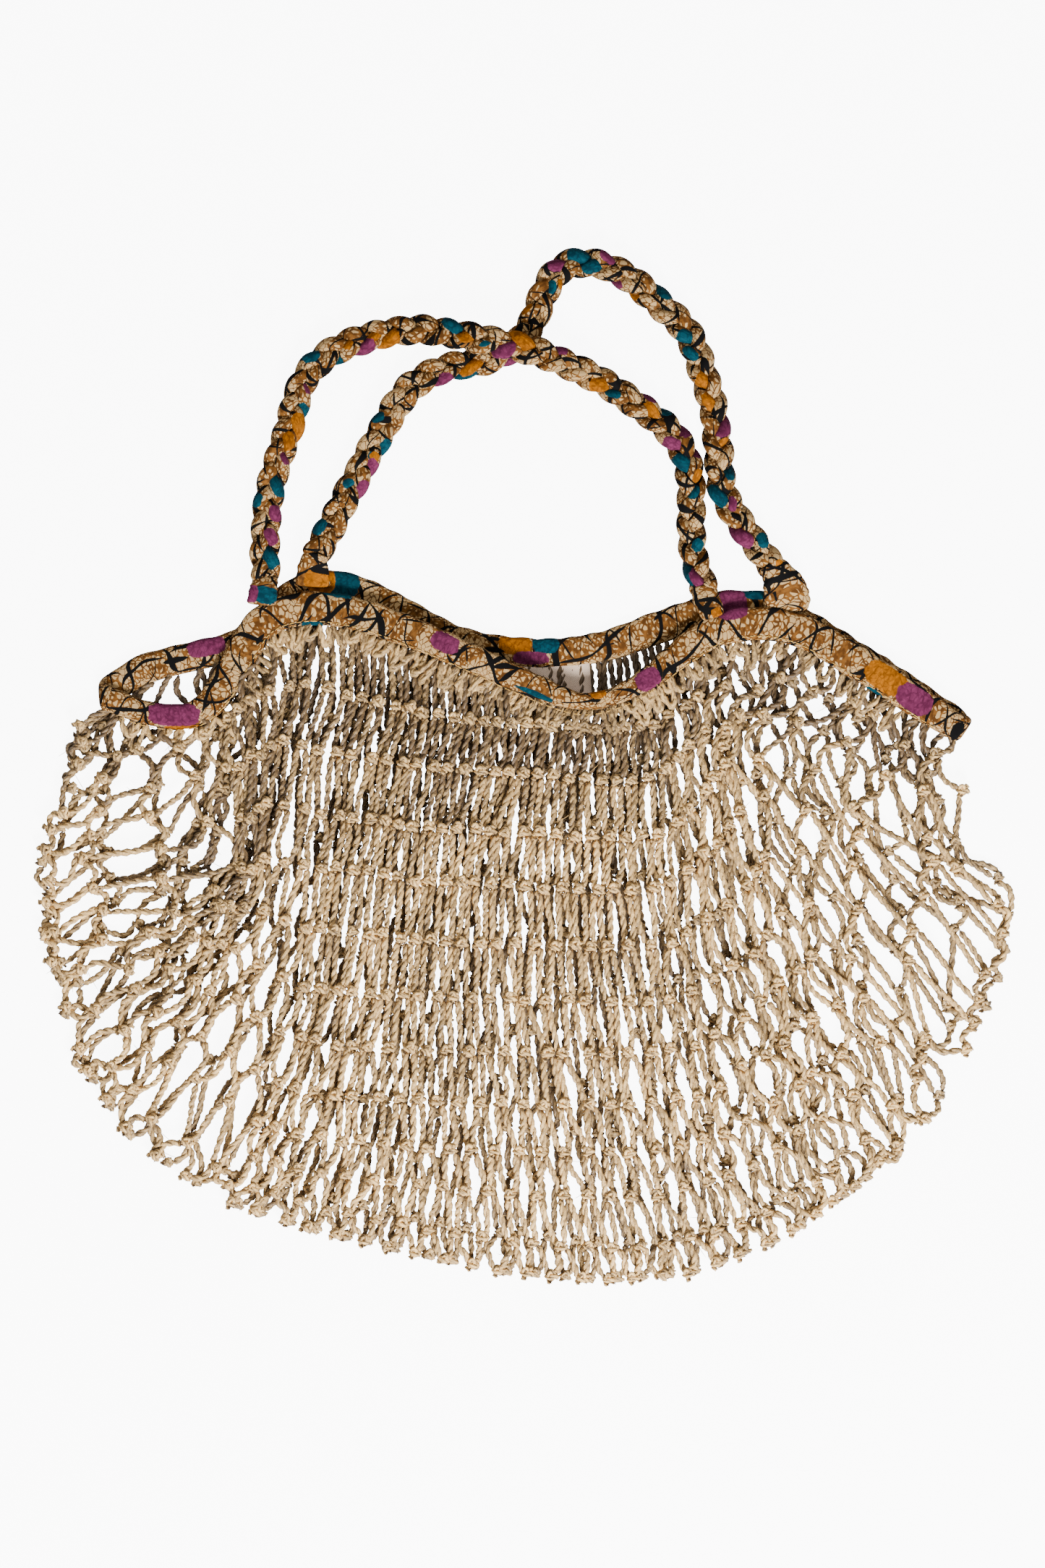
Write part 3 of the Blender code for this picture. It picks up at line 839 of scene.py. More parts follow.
def tape_material():
    """Woven tape, a little stained."""
    material, shader = new_material("Cotton tape")
    tree = material.node_tree
    place = add_node(tree, "ShaderNodeUVMap", uv_map="UVMap").outputs["UV"]
    weave = place_group(tree, plain_weave, {"Pitch": 0.9 * MM}, {"Place": place})
    threads = ramp_between(tree, weave["Height"], -0.8, 0.9)
    colour = blend_colours(tree, threads, TAPE_THREADS.deep, TAPE_THREADS.light)
    stains = ramp_between(tree, noise(tree, place, 8 * MM, 3)["Fac"], 0.4, 0.7)
    colour = blend_colours(tree, maths(tree, "MULTIPLY", stains, 0.3), colour, TAPE_STAINS)
    tree.links.new(colour, shader.inputs["Base Color"])
    add_bump(tree, shader, weave["Height"], 0.5, 0.12 * MM)
    shader.inputs["Roughness"].default_value = 0.75
    shader.inputs["Specular IOR Level"].default_value = 0.3
    return material


def thread_material():
    """Sewing thread, with its twist across its length."""
    material, shader = new_material("Gold thread")
    tree = material.node_tree
    fibre = add_node(tree, "ShaderNodeAttribute", attribute_name="fibre").outputs["Vector"]
    twist = noise(tree, stretched(tree, fibre, (2200, 1, 40)), 1, 1)["Fac"]
    twist = ramp_between(tree, twist, 0.4, 0.6)
    colour = blend_colours(tree, twist, GOLD_THREAD.deep, GOLD_THREAD.light)
    tree.links.new(colour, shader.inputs["Base Color"])
    shader.inputs["Roughness"].default_value = 0.5
    shader.inputs["Sheen Weight"].default_value = 0.2
    return material


# Net


class Fall:
    """One column of knots on its way from the band to the rim, read by row."""

    def __init__(self, top, stops):
        places = [top[:2], *(at(stop.x_px, stop.y_px)[:2] for stop in stops[1:])]
        rows = [stop.row for stop in stops]
        self.rows = rows[-1]
        self.path = smooth_through([(x, y, row * ROW_STEP) for (x, y), row in zip(places, rows)])

    def place(self, share):
        there = share * self.rows * ROW_STEP
        return np.array([np.interp(there, self.path[:, 2], self.path[:, i]) for i in (0, 1)])


def share_of_row(row, rows):
    """How far down its column a knot lies. A column's last knot is on the rim."""
    if row + 0.5 > rows:
        return 1
    share = min(row / rows, 1)
    if row + 1.5 > rows:
        share = max(share, 1 - 0.75 / rows)
    return share


class Panel:
    """The knots and legs of one net panel. A knot's key is twice its column, and its row."""

    def __init__(self, line, falls, height, rng, wander):
        self.line = line
        self.falls = falls
        self.height = height
        self.columns = sorted(falls)
        self.rng = rng
        self.knots = {}
        self.downs = {}
        self.lay_knots(wander)

    def rows_at(self, column):
        return np.interp(column, self.columns, [self.falls[c].rows for c in self.columns])

    def place(self, column, share):
        after = min(np.searchsorted(self.columns, column, side="right"), len(self.columns) - 1)
        low, high = self.columns[after - 1], self.columns[after]
        aside = (column - low) / (high - low)
        flat = self.falls[low].place(share) * (1 - aside) + self.falls[high].place(share) * aside
        return np.array((*flat, self.height(column, share)))

    def bunches(self):
        """How far aside each half column strays, where strands bunch and leave gaps."""
        strayed = np.cumsum(self.rng.normal(0, 1, 2 * NET_COLUMNS + 1))
        return strayed - np.convolve(strayed, np.ones(BUNCH_HALVES) / BUNCH_HALVES, mode="same")

    def down_at(self, column, share):
        step = 0.02
        ahead = self.place(column, min(share + step, 1)) - self.place(column, max(share - step, 0))
        return unit(ahead * (1, 1, 0))

    def lay_knots(self, wander):
        """Every second half column has a knot in a row, and the others have one in the next row."""
        steady = self.bunches()
        for row in range(NET_ROWS + 1):
            bunching = STEADY_BUNCHING * steady + self.bunches()
            for half in range(row % 2, 2 * NET_COLUMNS + 1, 2):
                column = half / 2
                rows = self.rows_at(column)
                if row > rows + 0.5:
                    continue
                share = share_of_row(row, rows)
                down = self.down_at(column, share)
                beside = max(abs(2 * column / NET_COLUMNS - 1) - 0.5, 0) * 2
                loose = wander * (LOOSE_AT_BAND if row == 0 else LOOSE_IN_MIDDLE + LOOSE_AT_SIDES * beside)
                aside = self.rng.normal(0, STRAY_ASIDE) + BUNCHING * bunching[half] * min(share * 2, 1)
                here = self.place(column, share) + np.cross(UP, down) * aside * loose
                here = here + down * self.rng.normal(0, STRAY_DOWN) * loose * (share < 1)
                here[2] += self.rng.uniform(*STRAY_UP_MM) * MM
                self.knots[half, row] = here
                self.downs[half, row] = down

    def legs(self):
        for (half, row) in self.knots:
            for side in (-1, 1):
                other = (half + side, row + 1)
                if other in self.knots:
                    yield (half, row), other, side


def cubic(start, leaving, arriving, end, share):
    """Points on a Bezier curve, for arrays of curves, as (curve, step, axis)."""
    s = share[None, :, None]
    a, b, c, d = (p[:, None, :] for p in (start, leaving, arriving, end))
    return a * (1 - s) ** 3 + 3 * b * s * (1 - s) ** 2 + 3 * c * s**2 * (1 - s) + d * s**3


def on_floor(places, clear=FLOOR_CLEAR):
    """Lifts what would lie lower than clear, in the array itself."""
    places[..., 2] = np.maximum(places[..., 2], clear)
    return places


def shade(panel, keys):
    """How much painted shade browns the twine under the band, in the fold and behind the front panel."""
    halves, rows = np.array(keys, float).T
    near_band = np.clip(1.2 - rows * 0.42, 0, 1)
    fold = np.exp(-(((halves / 2 - FOLD_COLUMN) / 3.5) ** 2) - ((rows - FOLD_ROW) / 2.2) ** 2)
    painted_shade = np.maximum(PAINTED_SHADE_AT_BAND * near_band, PAINTED_SHADE_IN_FOLD * fold)
    if panel is back_panel:
        middle = np.exp(-(((halves / NET_COLUMNS - 1) / 0.6) ** 4))
        painted_shade = painted_shade + PAINTED_SHADE_BEHIND * middle * np.clip(1.6 - rows / 8, 0, 1)
    return painted_shade


def leg_paths(panel, wanted, steps):
    """The middle lines of the twine between knots."""
    chosen = [leg for leg in panel.legs() if wanted(leg[0][0])]
    start = np.array([panel.knots[a] for a, _, _ in chosen])
    end = np.array([panel.knots[b] for _, b, _ in chosen])
    down_a = np.array([panel.downs[a] for a, _, _ in chosen])
    down_b = np.array([panel.downs[b] for _, b, _ in chosen])
    side = np.array([s for _, _, s in chosen])[:, None]
    is_top = np.array([a[1] == 0 for a, _, _ in chosen])[:, None]
    start = start + np.cross(UP, down_a) * side * KNOT_HALF
    start = start + np.where(is_top, 0, 1) * down_a * KNOT_NECK
    end = end - np.cross(UP, down_b) * side * KNOT_HALF - down_b * KNOT_NECK
    chord = end - start
    long = np.linalg.norm(chord, axis=1, keepdims=True)
    along = unit(chord)
    leaving = start + unit(down_a * AIM_DOWN + along * AIM_ALONG) * long * AIM_REACH
    arriving = end - unit(down_b * AIM_DOWN + along * AIM_ALONG) * long * AIM_REACH
    share = np.linspace(0, 1, steps + 1)
    paths = cubic(start, leaving, arriving, end, share)
    from_middle = np.abs(np.array([a[0] for a, _, _ in chosen])[:, None] / NET_COLUMNS - 1)
    loose = np.clip(from_middle * 1.9 - 0.45, 0.0, 0.7) + 0.16
    return on_floor(paths + slack_bows(long, along, loose, share, panel.rng))


def slack_bows(long, along, loose, share, rng):
    """How far slack legs bow sideways and up. Loose says how far sideways they are free to."""
    slack = np.maximum(LEG_LONG * rng.uniform(*LEG_SPREAD, long.shape) - long, 0)
    arch = np.sqrt(3 / 8 * long * slack)
    bow = np.minimum(arch * BOW_SHARE, BOW_MOST)
    level = unit(np.cross(along, UP))
    sign = rng.choice((-1.0, 1.0), long.shape)
    sway = (level * sign * loose + UP * rng.uniform(*BOW_UP, long.shape)) * bow
    aside = level * rng.normal(0, LEG_WAVE_MM, long.shape) * MM
    lift = UP * rng.uniform(*LEG_LIFT_MM, long.shape) * MM
    hump = (4 * share * (1 - share))[None, :, None]
    wave = np.sin(share * math.tau)[None, :, None]
    return (sway + lift)[:, None, :] * hump + aside[:, None, :] * wave


def knot_paths(panel, chosen, steps):
    """A turn of twine round the neck of each knot, and the bight that it holds."""
    rng = panel.rng
    middle = np.array([panel.knots[key] for key in chosen])
    down = np.array([panel.downs[key] for key in chosen])
    tilt = rng.normal(0, 0.28, (len(chosen), 1))
    across = np.cross(UP, down)
    across, down = (
        across * np.cos(tilt) + down * np.sin(tilt),
        down * np.cos(tilt) - across * np.sin(tilt),
    )
    size = rng.uniform(0.88, 1.15, (len(chosen), 1))
    turn = np.linspace(-KNOT_TURNS / 2, KNOT_TURNS / 2, 2 * steps + 1) * math.tau

    def swept(aside, above, below):
        return (
            (across * size)[:, None, :] * aside[None, :, None]
            + (UP * size)[:, None, :] * above[None, :, None]
            + (down * size)[:, None, :] * below[None, :, None]
        )

    ring = middle[:, None, :] + swept(
        np.sin(turn) * KNOT_TURN_WIDE,
        np.cos(turn) * KNOT_TURN_HIGH + KNOT_LIFT,
        turn / math.tau * KNOT_TURN_PITCH,
    )
    reach = np.linspace(-1, 1, steps + 1)
    arch = 1 - reach**2
    bight = middle[:, None, :] + swept(
        reach * BIGHT_HALF, arch * BIGHT_HIGH + KNOT_LIFT, BIGHT_FOOT - BIGHT_DEEP * arch
    )
    return on_floor(ring), on_floor(bight)


def gather_paths(panel, wanted, steps):
    """Small loops that hang from the band, where the first row of meshes is gathered under it."""
    rng = panel.rng
    columns = np.array([c / 2 for c in range(3, 2 * NET_COLUMNS - 2) if wanted(c)])
    tops = np.array([panel.line.across(panel.place(column, 0)[0]) for column in columns])
    share = np.clip(tops + rng.uniform(-LOOP_STRAY, LOOP_STRAY, len(tops)), 0.01, 0.99)
    in_lobe = np.clip(1 - columns / LOBE_COLUMNS, 0, 1)
    reach = rng.uniform(*LOOP_REACH, len(columns)) * (1 + 2 * in_lobe)
    start = np.array([band_edge(panel.line, s) for s in share])
    end = np.array([band_edge(panel.line, min(s + r, 1)) for s, r in zip(share, reach)])
    down = -panel.line.left_side(share)
    each = (len(columns), 1)
    deep = (rng.uniform(*LOOP_DEEP_MM, each) + in_lobe[:, None] * LOOP_DEEPER_MM) * MM
    for ends in (start, end):
        ends[:, 2] += rng.uniform(-1.5, 1.2, len(columns)) * MM
    swing = np.cross(UP, down) * rng.normal(*LOOP_SWING_MM, each) * MM
    low = down * deep * LOOP_PULL + swing + UP * rng.uniform(-1.5, 1.0, each) * MM
    paths = cubic(start, start + low, end + low, end, np.linspace(0, 1, steps + 1))
    return on_floor(paths)


def plies_of(paths, rng, ply_radius=PLY_RADIUS, from_middle=PLY_FROM_MIDDLE, painted_shade=0.0):
    """Two plies twisted round each path, with how far along and how round each point lies.

    The last argument takes that much off the tint of each length of twine: painted shade, or painted light
    where it is below zero.
    """
    steps = np.diff(paths, axis=1)
    reached = np.cumsum(np.linalg.norm(steps, axis=2), axis=1)
    reached = np.concatenate([np.zeros((len(paths), 1)), reached], axis=1)
    side, above = cross_axes(paths)
    start = rng.uniform(0, math.tau, (len(paths), 1))
    turn = start + reached / TWIST_LONG * math.tau * rng.uniform(0.8, 1.25, (len(paths), 1))
    plies = []
    for half_turn in (0, math.pi):
        cosine = np.cos(turn + half_turn)[:, :, None]
        sine = np.sin(turn + half_turn)[:, :, None]
        plies.append(paths + (side * cosine + above * sine) * from_middle)
    middles = np.concatenate([paths, paths])
    tint = rng.uniform(0, 1, (len(paths), 1)) - np.reshape(painted_shade, (-1, 1))
    tint = np.repeat(tint, paths.shape[1], axis=1)
    fat = ply_radius * rng.uniform(0.88, 1.1, (2 * len(paths), 1)) * np.ones(paths.shape[1])
    fat *= 1 + 0.1 * rng.normal(0, 1, fat.shape)
    fat[:, [0, -1]] *= 0.01
    return np.concatenate(plies), middles, np.tile(reached, (2, 1)), np.tile(tint, (2, 1)), fat


def single(paths, rng, radius):
    """A lone thread or fibre round each path, thin at both ends."""
    steps = np.diff(paths, axis=1)
    reached = np.cumsum(np.linalg.norm(steps, axis=2), axis=1)
    reached = np.concatenate([np.zeros((len(paths), 1)), reached], axis=1)
    tint = np.repeat(rng.uniform(0, 1, (len(paths), 1)), paths.shape[1], axis=1)
    fat = np.full(paths.shape[:2], radius)
    fat[:, [0, -1]] *= 0.3
    return paths, paths - UP * MM, reached, tint, fat


def twine_mesh(name, bundles, material):
    """One mesh of four-sided tubes round every ply.

    Its fibre attribute has how far along the twine a point is, how many millimetres it is off the
    twine's middle, which places the painted shade in the groove between plies, and the tint of that
    length of twine, with its painted shade or painted light.
    """
    curve = bpy.data.curves.new(name, "CURVE")
    curve.dimensions = "3D"
    curve.bevel_depth = 1
    curve.bevel_resolution = 0
    along, tints, middles = [], [], []
    for plies, middle, reached, tint, fat in bundles:
        count = plies.shape[1]
        points = np.concatenate([plies, np.ones((*plies.shape[:2], 1))], axis=2)
        for ply, radius in zip(points, fat):
            spline = curve.splines.new("POLY")
            spline.points.add(count - 1)
            spline.points.foreach_set("co", ply.ravel())
            spline.points.foreach_set("radius", radius)
        along.append(reached.ravel())
        tints.append(tint.ravel())
        middles.append(middle.reshape(-1, 3))
    guide = bpy.data.objects.new(name, curve)
    bpy.context.scene.collection.objects.link(guide)
    graph = bpy.context.evaluated_depsgraph_get()
    mesh = bpy.data.meshes.new_from_object(guide.evaluated_get(graph))
    bpy.data.objects.remove(guide)
    mesh.name = name
    along = np.concatenate(along)
    ring = len(mesh.vertices) // len(along)
    points = np.zeros(len(mesh.vertices) * 3, np.float32)
    mesh.vertices.foreach_get("co", points)
    off_middle = points.reshape(len(along), ring, 3) - np.concatenate(middles)[:, None, :]
    fibre = np.zeros((len(along), ring, 3), np.float32)
    fibre[:, :, 0] = along[:, None]
    fibre[:, :, 1] = np.linalg.norm(off_middle, axis=2) / MM
    fibre[:, :, 2] = np.concatenate(tints)[:, None]
    mesh.attributes.new("fibre", "FLOAT_VECTOR", "POINT").data.foreach_set("vector", fibre.ravel())
    mesh.shade_smooth()
    mesh.materials.clear()
    return linked(name, mesh, material)


def make_net_piece(name, panel, wanted, leg_steps, knot_steps, material):
    """The legs, knots, loose fibres and, on the front, the loops of the wanted half columns."""
    rng = panel.rng
    legs = leg_paths(panel, wanted, leg_steps)
    starts = [start for start, _, _ in panel.legs() if wanted(start[0])]
    # Legs get painted shade under the band, in the fold and behind the front panel.
    bundles = [plies_of(legs, rng, painted_shade=shade(panel, starts))]
    if panel is front_panel:
        loops = gather_paths(panel, wanted, knot_steps)
        # The loops under the band get a little painted shade.
        bundles.append(plies_of(loops, rng, painted_shade=PAINTED_SHADE_ON_LOOPS))
    tied = [key for key in panel.knots if wanted(key[0]) and key[1] > 0]
    # Knots take a share of the painted shade, and painted light makes them paler where they catch the
    # light.
    painted_shade = KNOT_SHADE * shade(panel, tied) - KNOT_PAINTED_LIGHT
    for turns in knot_paths(panel, tied, knot_steps):
        bundles.append(plies_of(turns, rng, KNOT_PLY_RADIUS, KNOT_PLY_FROM_MIDDLE, painted_shade))
    bundles.append(single(hair_paths(legs, rng), rng, HAIR_RADIUS))
    return twine_mesh(name, bundles, material)


def make_net(panel, pieces, leg_steps, knot_steps, material):
    """The panel's net pieces side by side, which each hold the knots of some columns."""
    made = []
    for part in pieces:
        wanted = range(part.first_half, part.after_half).__contains__
        made.append(make_net_piece(part.name, panel, wanted, leg_steps, knot_steps, material))
    return made


def hair_paths(legs, rng):
    """Loose fibres that stand off the twine."""
    count = len(legs) // 4
    leg = rng.integers(0, len(legs), count)
    step = rng.integers(1, legs.shape[1] - 1, count)
    start = legs[leg, step]
    along = unit(legs[leg, step + 1] - start)
    away = unit(rng.normal(0, 1, (count, 3)) * (1, 1, 0.5) + along * 1.2)
    bend = rng.normal(0, 0.35, (count, 3)) * (1, 1, 0.4)
    long = rng.uniform(*HAIR_LONG_MM, (count, 1)) * MM
    shares = np.linspace(0, 1, 5)[None, :, None]
    hairs = start[:, None, :] + (away * long)[:, None, :] * shares + (bend * long)[:, None, :] * shares**2
    return on_floor(hairs, HAIR_CLEAR)


def front_height(column, share):
    across = column / NET_COLUMNS
    top = front_line.point(across)[2] - 1.5 * MM
    dome = 4 * share * (1 - share) * math.sin(across * math.pi) * NET_DOME
    fold = math.exp(-(((column - FOLD_COLUMN) / 2.5) ** 2) - ((share - 0.22) / 0.2) ** 2) * FOLD_HEIGHT
    return top + (RIM_HEIGHT - top) * share + dome + fold


def back_height(_column, _share):
    return BACK_HEIGHT


def column_of(part):
    return float(np.interp(part, PARTS, COLUMNS_OF_PARTS))


def band_edge(line, share):
    """A point under the lower edge of one of the band's strands."""
    half_wide = band_widths(line, share) / 2
    return line.point(share) - line.left_side(share) * (half_wide - NET_INTO_BAND)


def fall_top(line, stops):
    """Where a column of knots leaves the band, on one of its strands."""
    return band_edge(line, line.across(at(stops[0].x_px, stops[0].y_px)[0]))


def front_falls():
    return {
        column_of(part): Fall(fall_top(front_line, stops), stops)
        for part, stops in FRONT_FALLS.items()
    }


def back_falls():
    """The back panel's columns fall nearly straight, between the front's, and are drawn towards them."""
    falls = {}
    for part, stops in FRONT_FALLS.items():
        top = fall_top(back_line, stops)
        rim = stops[-1]
        drawn = Fall(fall_top(front_line, stops), stops).place(0.5)
        middle = (top[:2] + at(rim.x_px, rim.y_px)[:2]) / 4 + drawn / 2
        middle[0] += BACK_SWAY * math.sin(column_of(part) / NET_COLUMNS * math.pi)
        middle_px = (middle[0] / PIXEL + MIDDLE_X_PX, MIDDLE_Y_PX - middle[1] / PIXEL)
        column = column_of(part) - BACK_ASIDE
        falls[column] = Fall(top, (stops[0], Stop(rim.row * 0.5, *middle_px), rim))
    return falls


# Band, handles, tabs and label


def cross_axes(paths):
    """The level side and the upper side of each point of some paths."""
    heading = unit(np.gradient(paths, axis=-2))
    side = unit(np.cross(UP, heading))
    return side, np.cross(heading, side)


def drift(along, long, rng):
    """A smooth random wave between -1 and 1, whose bends are about long apart."""
    place = (along - along.min()) / long
    low = np.floor(place).astype(int)
    heights = rng.uniform(-1, 1, low.max() + 2)
    part = place - low
    part = part * part * (3 - 2 * part)
    return heights[low] * (1 - part) + heights[low + 1] * part


def rounded_section(sides, squareness):
    """The corners of a strip's section, as shares of half its width and half its thickness."""
    turn = np.arange(sides) / sides * math.tau
    cosine, sine = np.cos(turn), np.sin(turn)
    aside = np.sign(cosine) * np.abs(cosine) ** squareness
    above = np.sign(sine) * np.abs(sine) ** 0.8
    return aside, above


def new_dyes(places):
    return {ink: np.full(places.shape[:2], -1.0) for ink in INKS}


def dye(dyes, places, shown, patch, heading):
    """Adds one patch to the places that are shown, long in the direction of heading."""
    away = places[..., :2] - at(patch.x_px, patch.y_px)[:2]
    long = away @ heading[:2] / (patch.long_mm * MM / 2)
    wide = away @ np.array((-heading[1], heading[0])) / (patch.wide_mm * MM / 2)
    inside = np.where(shown, 1 - (np.abs(long) ** 3 + np.abs(wide) ** 3) ** (1 / 3), -1)
    dyes[patch.colour] = np.maximum(dyes[patch.colour], inside)


def skin(name, places, dyes, long, around, material, is_ring=False, start=0.0):
    """A closed cloth skin through places, which are (steps along, points round, axis).

    Its UV map is in metres along and round it, from start.
    """
    steps, sides = places.shape[:2]
    spans = steps if is_ring else steps - 1
    bm = bmesh.new()
    bm.loops.layers.uv.new("UVMap")
    bmesh.ops.create_grid(bm, x_segments=spans, y_segments=sides, size=0.5, calc_uvs=True)
    colours = bm.verts.layers.float_vector.new("dyes")
    black = bm.verts.layers.float.new("ink")
    uv = bm.loops.layers.uv.active
    for face in bm.faces:
        for loop in face.loops:
            loop[uv].uv = (start + loop[uv].uv.x * long, loop[uv].uv.y * around)
    for vert in bm.verts:
        i = round((vert.co.x + 0.5) * spans) % steps
        j = round((vert.co.y + 0.5) * sides) % sides
        vert.co = places[i, j]
        vert[colours] = [dyes[ink][i, j] for ink in DYES]
        vert[black] = dyes["black"][i, j]
    bmesh.ops.remove_doubles(bm, verts=bm.verts, dist=SAME_POINT)
    if not is_ring:
        ends = [edge for edge in bm.edges if edge.is_boundary]
        bmesh.ops.holes_fill(bm, edges=ends, sides=0)
    bmesh.ops.recalc_face_normals(bm, faces=bm.faces)
    mesh = bpy.data.meshes.new(name)
    bm.to_mesh(mesh)
    bm.free()
    mesh.shade_smooth()
    return linked(name, mesh, material)


def subdivided(piece):
    smooth = piece.modifiers.new("Soft cloth", "SUBSURF")
    smooth.levels = 1
    smooth.render_levels = 1
    return piece


def strand_stations(line, outward_up):
    """The band's middle, side and outward direction along one strand."""
    count = round(line.length / BAND_STEP)
    share = np.linspace(0, 1, count + 1)
    wide = band_widths(line, share)[:, None]
    return line.point(share), line.left_side(share), np.tile(outward_up, (count + 1, 1)), wide


def tip_stations(leaving, arriving, outward):
    """The band's fold round one tip of the mouth, from one strand's end to the other's."""
    start, start_side, start_up, start_wide = (part[-1] for part in leaving)
    end, end_side, _, end_wide = (part[0] for part in arriving)
    radius = abs(start[2] - end[2]) / 2
    share = (np.arange(1, BAND_TIP_STEPS) / BAND_TIP_STEPS)[:, None]
    turn = share * math.pi
    middle = start + (end - start) * share
    middle[:, 2:] = (start[2] + end[2]) / 2 + start_up[2] * radius * np.cos(turn)
    middle = middle + outward * radius * np.sin(turn)
    side = unit(start_side + (end_side - start_side) * share)
    wide = start_wide + (end_wide - start_wide) * share
    return middle, side, start_up * np.cos(turn) + outward * np.sin(turn), wide


def band_section(reached, full):
    """Half the band's section at each step, level and upright, with its puckers and wrinkles."""
    aside, above = rounded_section(BAND_SIDES, 0.6)
    rng = np.random.default_rng(5)
    along = reached[:, None]
    fade = np.sin(reached / (reached[-1] + BAND_STEP) * math.pi)[:, None] ** 0.25
    slant = aside[None, :] * BAND_WIDE / 2
    folds = sum(drift(along + slant * w.slant, w.apart, rng) * w.deep for w in BAND_WRINKLES)
    puckers = (drift(along, PUCKER_LONG / 2, rng) - 0.5) * PUCKER_HIGH
    lift = 1 + (folds + puckers) * fade
    scallop = np.abs(np.sin(along / PUCKER_LONG * math.pi + drift(along, 30 * MM, rng)))
    upper = SCALLOP_DEEP * (scallop - 0.5) + 0.05 * drift(along, 9 * MM, rng)
    lower = 0.04 * drift(along, 7 * MM, rng)
    edge = 1 + np.where(aside[None, :] > 0, upper, np.where(aside[None, :] < 0, lower, 0)) * fade
    wide = aside[None, :] * edge * full / 2
    thick = BAND_THICK * (1 + 0.5 * (1 - full / BAND_WIDE))
    high = above[None, :] * np.where(above[None, :] > 0, lift, 1) * thick / 2
    high = high - np.exp(-(((aside + SEAM_ASIDE) / 0.1) ** 2)) * (above > 0) * SEAM_GROOVE
    return wide, high, above


def dye_band(dyes, places, front_steps, above):
    """Each patch of the band goes onto the upper side of the strand that it lies on."""
    step = np.arange(len(places))[:, None]
    half_tip = BAND_TIP_STEPS // 2
    is_front = (step < front_steps + half_tip) | (step > len(places) - half_tip)
    sides = (
        (front_line, is_front & (above[None, :] > -0.3)),
        (back_line, ~is_front & (above[None, :] < 0.3)),
    )
    for patch in BAND_PATCHES:
        for line, shown in sides:
            near = line.nearest(patch.x_px, patch.y_px)
            away = line.point(near)[:2] - at(patch.x_px, patch.y_px)[:2]
            if np.linalg.norm(away) < BAND_WIDE * 0.8:
                dye(dyes, places, shown, patch, line.heading(near))


def make_band(material):
    """One loop of folded cloth: the front strand, the right tip, the back strand and the left tip."""
    front = strand_stations(front_line, UP)
    back = [part[::-1] for part in strand_stations(back_line, -UP)]
    right = unit(front_line.heading(1) + back_line.heading(1))
    left = -unit(front_line.heading(0) + back_line.heading(0))
    rows = (front, tip_stations(front, back, right), back, tip_stations(back, front, left))
    middle, side, up, full = (np.concatenate([row[part] for row in rows]) for part in range(4))
    steps = np.linalg.norm(np.diff(middle, axis=0), axis=1)
    reached = np.concatenate([[0], np.cumsum(steps)])
    wide, high, above = band_section(reached, full)
    places = middle[:, None] + side[:, None] * wide[:, :, None] + up[:, None] * high[:, :, None]
    on_floor(places, CLOTH_CLEAR)
    dyes = new_dyes(places)
    dye_band(dyes, places, len(front[0]), above)
    around = 2 * (BAND_WIDE + BAND_THICK)
    return skin("band_cloth", places, dyes, reached[-1] + BAND_STEP, around, material, is_ring=True)


def plait_strands(line, rng):
    """The three strands of a plait, each a third of a period behind the last."""
    steps = round(line.length / PLAIT_PERIOD * PLAIT_STEPS_PER_PERIOD)
    share = np.linspace(0, 1, steps + 1)
    turn = share * steps / PLAIT_STEPS_PER_PERIOD * math.tau
    round_it = np.arange(STRAND_SIDES) / STRAND_SIDES * math.tau
    strands = []
    for strand in range(3):
        phase = turn + strand * math.tau / 3
        swing = PLAIT_SWING * np.cos(phase) * (1 + 0.06 * drift(share, 0.05, rng))
        rise = PLAIT_RISE * np.sin(2 * phase)
        path = line.point(share) + line.left_side(share) * swing[:, None] + UP * rise[:, None]
        side, above = cross_axes(path)
        reached = share * line.length * STRAND_LONGER
        puffed = 1 + 0.07 * np.sin(2 * phase) + 0.04 * drift(share, 0.02, rng)
        creases = CREASE_DEEP * drift(reached[:, None] + round_it[None, :] * 1.1 * MM, 2.6 * MM, rng)
        folds = CLOTH_FOLD_DEEP * np.cos(3 * round_it[None, :] + 3 * drift(share, 0.08, rng)[:, None])
        radius = STRAND_RADIUS * puffed[:, None] + creases + folds
        level = np.cos(round_it)[None, :] * radius
        high = np.sin(round_it)[None, :] * radius * STRAND_FLAT
        places = path[:, None] + side[:, None] * level[:, :, None] + above[:, None] * high[:, :, None]
        on_floor(places, CLOTH_CLEAR)
        strands.append((path, places, new_dyes(places)))
    return strands


def dye_plait(strands, patches):
    """Each patch goes onto the strand that is uppermost where it lies."""
    for patch in patches:
        spot = at(patch.x_px, patch.y_px)[:2]
        best = None
        for path, places, dyes in strands:
            away = np.linalg.norm(path[:, :2] - spot, axis=1)
            near = np.argmin(away + np.maximum(STRAND_RADIUS * 2 - path[:, 2], 0) * 0.01)
            score = max(away[near] - STRAND_RADIUS * 0.9, 0) * 20 - path[near, 2]
            if best is None or score < best[0]:
                best = (score, near, path, places, dyes)
        _, near, path, places, dyes = best
        beside = np.abs(np.arange(len(path)) - near)[:, None] < PLAIT_STEPS_PER_PERIOD * 0.35
        heading = unit(path[min(near + 1, len(path) - 1)] - path[max(near - 1, 0)])
        dye(dyes, places, beside & np.ones(STRAND_SIDES, bool)[None, :], patch, heading)


def make_handle(name, line, patches, start, material):
    strands = plait_strands(line, np.random.default_rng(round(start * 10)))
    dye_plait(strands, patches)
    return [
        skin(
            f"{name}_strand_{number}", places, dyes, line.length * STRAND_LONGER, STRAND_AROUND, material,
            start=start + (number - 1) * 0.6,
        )
        for number, (_, places, dyes) in enumerate(strands, 1)
    ]


